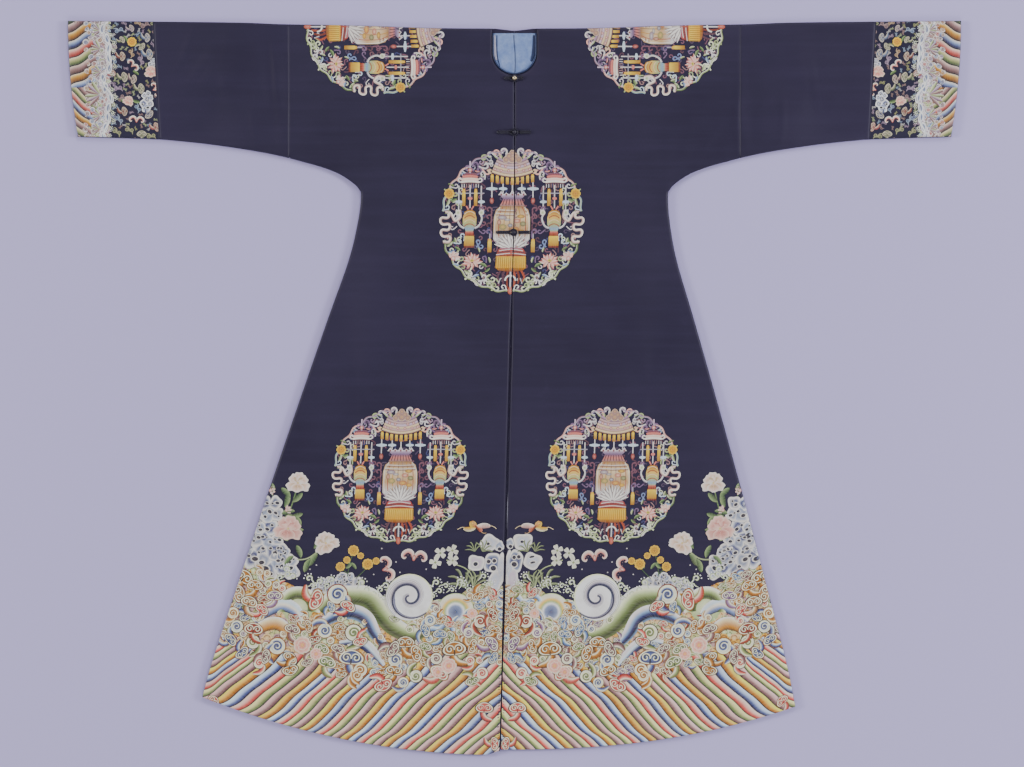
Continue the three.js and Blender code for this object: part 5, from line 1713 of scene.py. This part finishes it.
CLOSURES = [("neck", 594, 17, True), ("upper", 490, 31, False), ("chest", 297, 31, False)]
CORD_RADIUS = 1.6
BUTTON_RADIUS = 4.5
CLEARANCE = 0.3  # under a cord, and round a button


def closure(name, up, half_length, metal):
    """A ball button on its cord, seated in the loop of the other half's cord."""
    plane = TOP_Z + CORD_RADIUS + CLEARANCE
    gap = BUTTON_RADIUS + CORD_RADIUS + CLEARANCE
    ring = math.sqrt(gap**2 - (BUTTON_RADIUS - CORD_RADIUS) ** 2)
    x0 = float(lean_at(up))
    # The loop: two strands side by side that open round the button.
    t = np.linspace(2.62, -2.62, 34)
    circle_part = polar(ring, t)
    strand = [(-half_length, 1.7), (-half_length * 0.6, 1.65), (-ring * 1.9, 1.7)]
    upper = spline([*strand, (-ring * 1.25, 2.5), tuple(circle_part[0])], 26)
    end = arc(-half_length, 0, 1.7, -math.pi / 2, -math.pi, 8)
    path = np.vstack([upper[:-1], circle_part, (upper * (1, -1))[::-1][1:], end[1:-1]])
    loop = np.column_stack([path + (x0, up), np.full(len(path), plane)])
    laid = {"strands": 3, "twist": 1.6}
    made = cord_object("cord_loop_" + name, [(loop, CORD_RADIUS)], CORD, "cord", **laid)
    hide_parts("frog_loop_" + name)
    # The button's bar: two strands that end under the button.
    bars = []
    for flip in (1, -1):
        bar = spline([(half_length, 1.65 * flip), (half_length * 0.55, 1.65 * flip),
                      (ring + CORD_RADIUS * 2 + 0.4, 1.65 * flip)], 24)
        bars.append((np.column_stack([bar + (x0, up), np.full(24, plane)]), CORD_RADIUS))
    made = cord_object("cord_bar_" + name, bars, CORD, "cord", **laid)
    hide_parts("frog_bar_" + name)
    bpy.ops.mesh.primitive_uv_sphere_add(segments=36, ring_count=24, radius=BUTTON_RADIUS * MM)
    ball = bpy.context.object
    ball.name = "knot_" + name
    for vertex in ball.data.vertices:
        d = vertex.co.normalized()
        a, b = math.atan2(d.y, d.x), math.asin(max(-1, min(1, d.z)))
        if metal:
            swell = 0.025 * math.cos(8 * a) * math.cos(b) ** 2
        else:
            swell = -0.10 + 0.09 * abs(math.sin(3 * (a + 1.1 * b))) + 0.05 * abs(math.sin(3 * b))
        vertex.co *= 1 + swell
    ball.location = (x0 * MM, up * MM, (plane + BUTTON_RADIUS - CORD_RADIUS) * MM)
    for face in ball.data.polygons:
        face.use_smooth = True
    ball.data.materials.append(GILT if metal else CORD)
    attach(ball, "root")
    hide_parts("button_" + name)


# --- Making the piece ---------------------------------------------------------------------------

shells = {}
for side in (-1, 1):
    for is_front in (True, False):
        made = body_shell(side, is_front)
        shells[made.name] = made
    for kind in ("sleeve", "cuff"):
        made = sleeve_shell(side, kind)
        shells[made.name] = made
neck_pieces()
facing_edge()
for name, up, half_length, metal in CLOSURES:
    closure(name, up, half_length, metal)

LOW_ROUNDEL = (205, -171, 135)  # across, up, radius
CHEST_ROUNDEL = (-4, 319, 144)
SHOULDER_ROUNDEL = (270, SHOULDER_Y + 3, 138)
ROUNDEL_CONTRAST, SEA_CONTRAST, CUFF_CONTRAST = 1.12, 1.3, 1.25


def lay_roundel(kind, side, x, y, radius, turn=0.0, field=None):
    hoop = Hoop()
    roundel(hoop.at(x, y, turn, radius))
    if field:
        hoop.keep(field)
    hoop.lay("emb_" + kind + "_" + NAMES[side], side, ROUNDEL_CONTRAST)


def embroider(side):
    """All the needlework of one side."""
    field = hem_field(side)
    water, swirls, plants, cuff = Hoop(), Hoop(), Hoop(), Hoop()
    stripes(water, side)
    sea(swirls.at(0, 0, 0, 1, side), np.random.default_rng(11 + side))
    swirls.keep(field)
    swirls.store.extend(water.store)
    swirls.lay("emb_sea_" + NAMES[side], side, SEA_CONTRAST)
    shore(plants.at(0, 0, 0, 1, side), side)
    plants.keep(field)
    plants.lay("emb_shore_" + NAMES[side], side)

    across, up, radius = LOW_ROUNDEL
    lay_roundel("low", side, side * across, up, radius)
    lay_roundel("chest", side, *CHEST_ROUNDEL, 0.0, lambda x, y: side * x - slit_half(y) - 0.7)
    across, up, radius = SHOULDER_ROUNDEL
    lay_roundel("shoulder", side, side * across, up, radius, side * math.pi / 2,
                lambda x, y: top_up(side * x) - y - 1.0)

    cuff_stripes(cuff, side)
    cuff_band(cuff, side, np.random.default_rng(41 + side))
    cuff.keep(lambda x, y: np.minimum(
        inside(side, side * x, y) - 0.9, side * x - cuff_seam((y - CUFF_LOW_Y) / CUFF_DEPTH) - 1.2))
    cuff.lay("emb_cuff_" + NAMES[side], side, CUFF_CONTRAST)


for side in (-1, 1):
    embroider(side)

# Each panel's kind, taken from its name.
for name, made in shells.items():
    kind = name.split("_")[1]

# --- Floor, light and camera, in metres ---------------------------------------------------------

CAMERA_HEIGHT = 4.94
CAMERA_LENS = 90  # millimetres, on a sensor 36 mm wide
VIEW_X, VIEW_Y = -0.0048, 0.0058
FLOOR_SIZE, FLOOR_Z = 9, -0.0005


def backdrop():
    n = Nodes("paper")
    place = n.add("TexCoord").outputs["Object"]
    tooth = n.noise(place, 300.0, 3.0)
    return n.finish((*srgb(193, 183, 232), 1.0), 0.9, tooth, 0.1, 0.0002)


bpy.ops.mesh.primitive_plane_add(size=FLOOR_SIZE, location=(0, 0, FLOOR_Z))
floor = bpy.context.object
floor.name = "floor"
floor.data.materials.append(backdrop())


def area_light(name, place, aim, size, power, colour=(1.0, 1.0, 1.0)):
    data = bpy.data.lights.new(name, "AREA")
    data.shape = "DISK"
    data.size = size
    data.energy = power
    data.color = colour
    lamp = bpy.data.objects.new(name, data)
    bpy.context.scene.collection.objects.link(lamp)
    lamp.location = place
    direction = Vector(aim) - Vector(place)
    lamp.rotation_euler = direction.to_track_quat("-Z", "Y").to_euler()


area_light("left", (-4.8, 0.6, 2.2), (0, 0, 0), 1.3, 160, (1.0, 0.985, 0.965))
area_light("right", (4.8, 0.6, 2.2), (0, 0, 0), 1.3, 190, (0.97, 0.97, 1.0))
area_light("low", (0.4, -3.6, 2.8), (0, -0.2, 0), 2.0, 66)
area_light("high", (0.6, 3.8, 2.8), (0, 0.2, 0), 2.0, 62)
world = bpy.data.worlds.new("soft")
world.use_nodes = True
world.node_tree.nodes["Background"].inputs["Color"].default_value = (0.9, 0.92, 1.0, 1.0)
world.node_tree.nodes["Background"].inputs["Strength"].default_value = 0.3
bpy.context.scene.world = world

lens = bpy.data.cameras.new("camera")
lens.lens = CAMERA_LENS
lens.sensor_width = 36
camera = bpy.data.objects.new("camera", lens)
camera.location = (VIEW_X, VIEW_Y, CAMERA_HEIGHT)
bpy.context.scene.collection.objects.link(camera)
bpy.context.scene.camera = camera
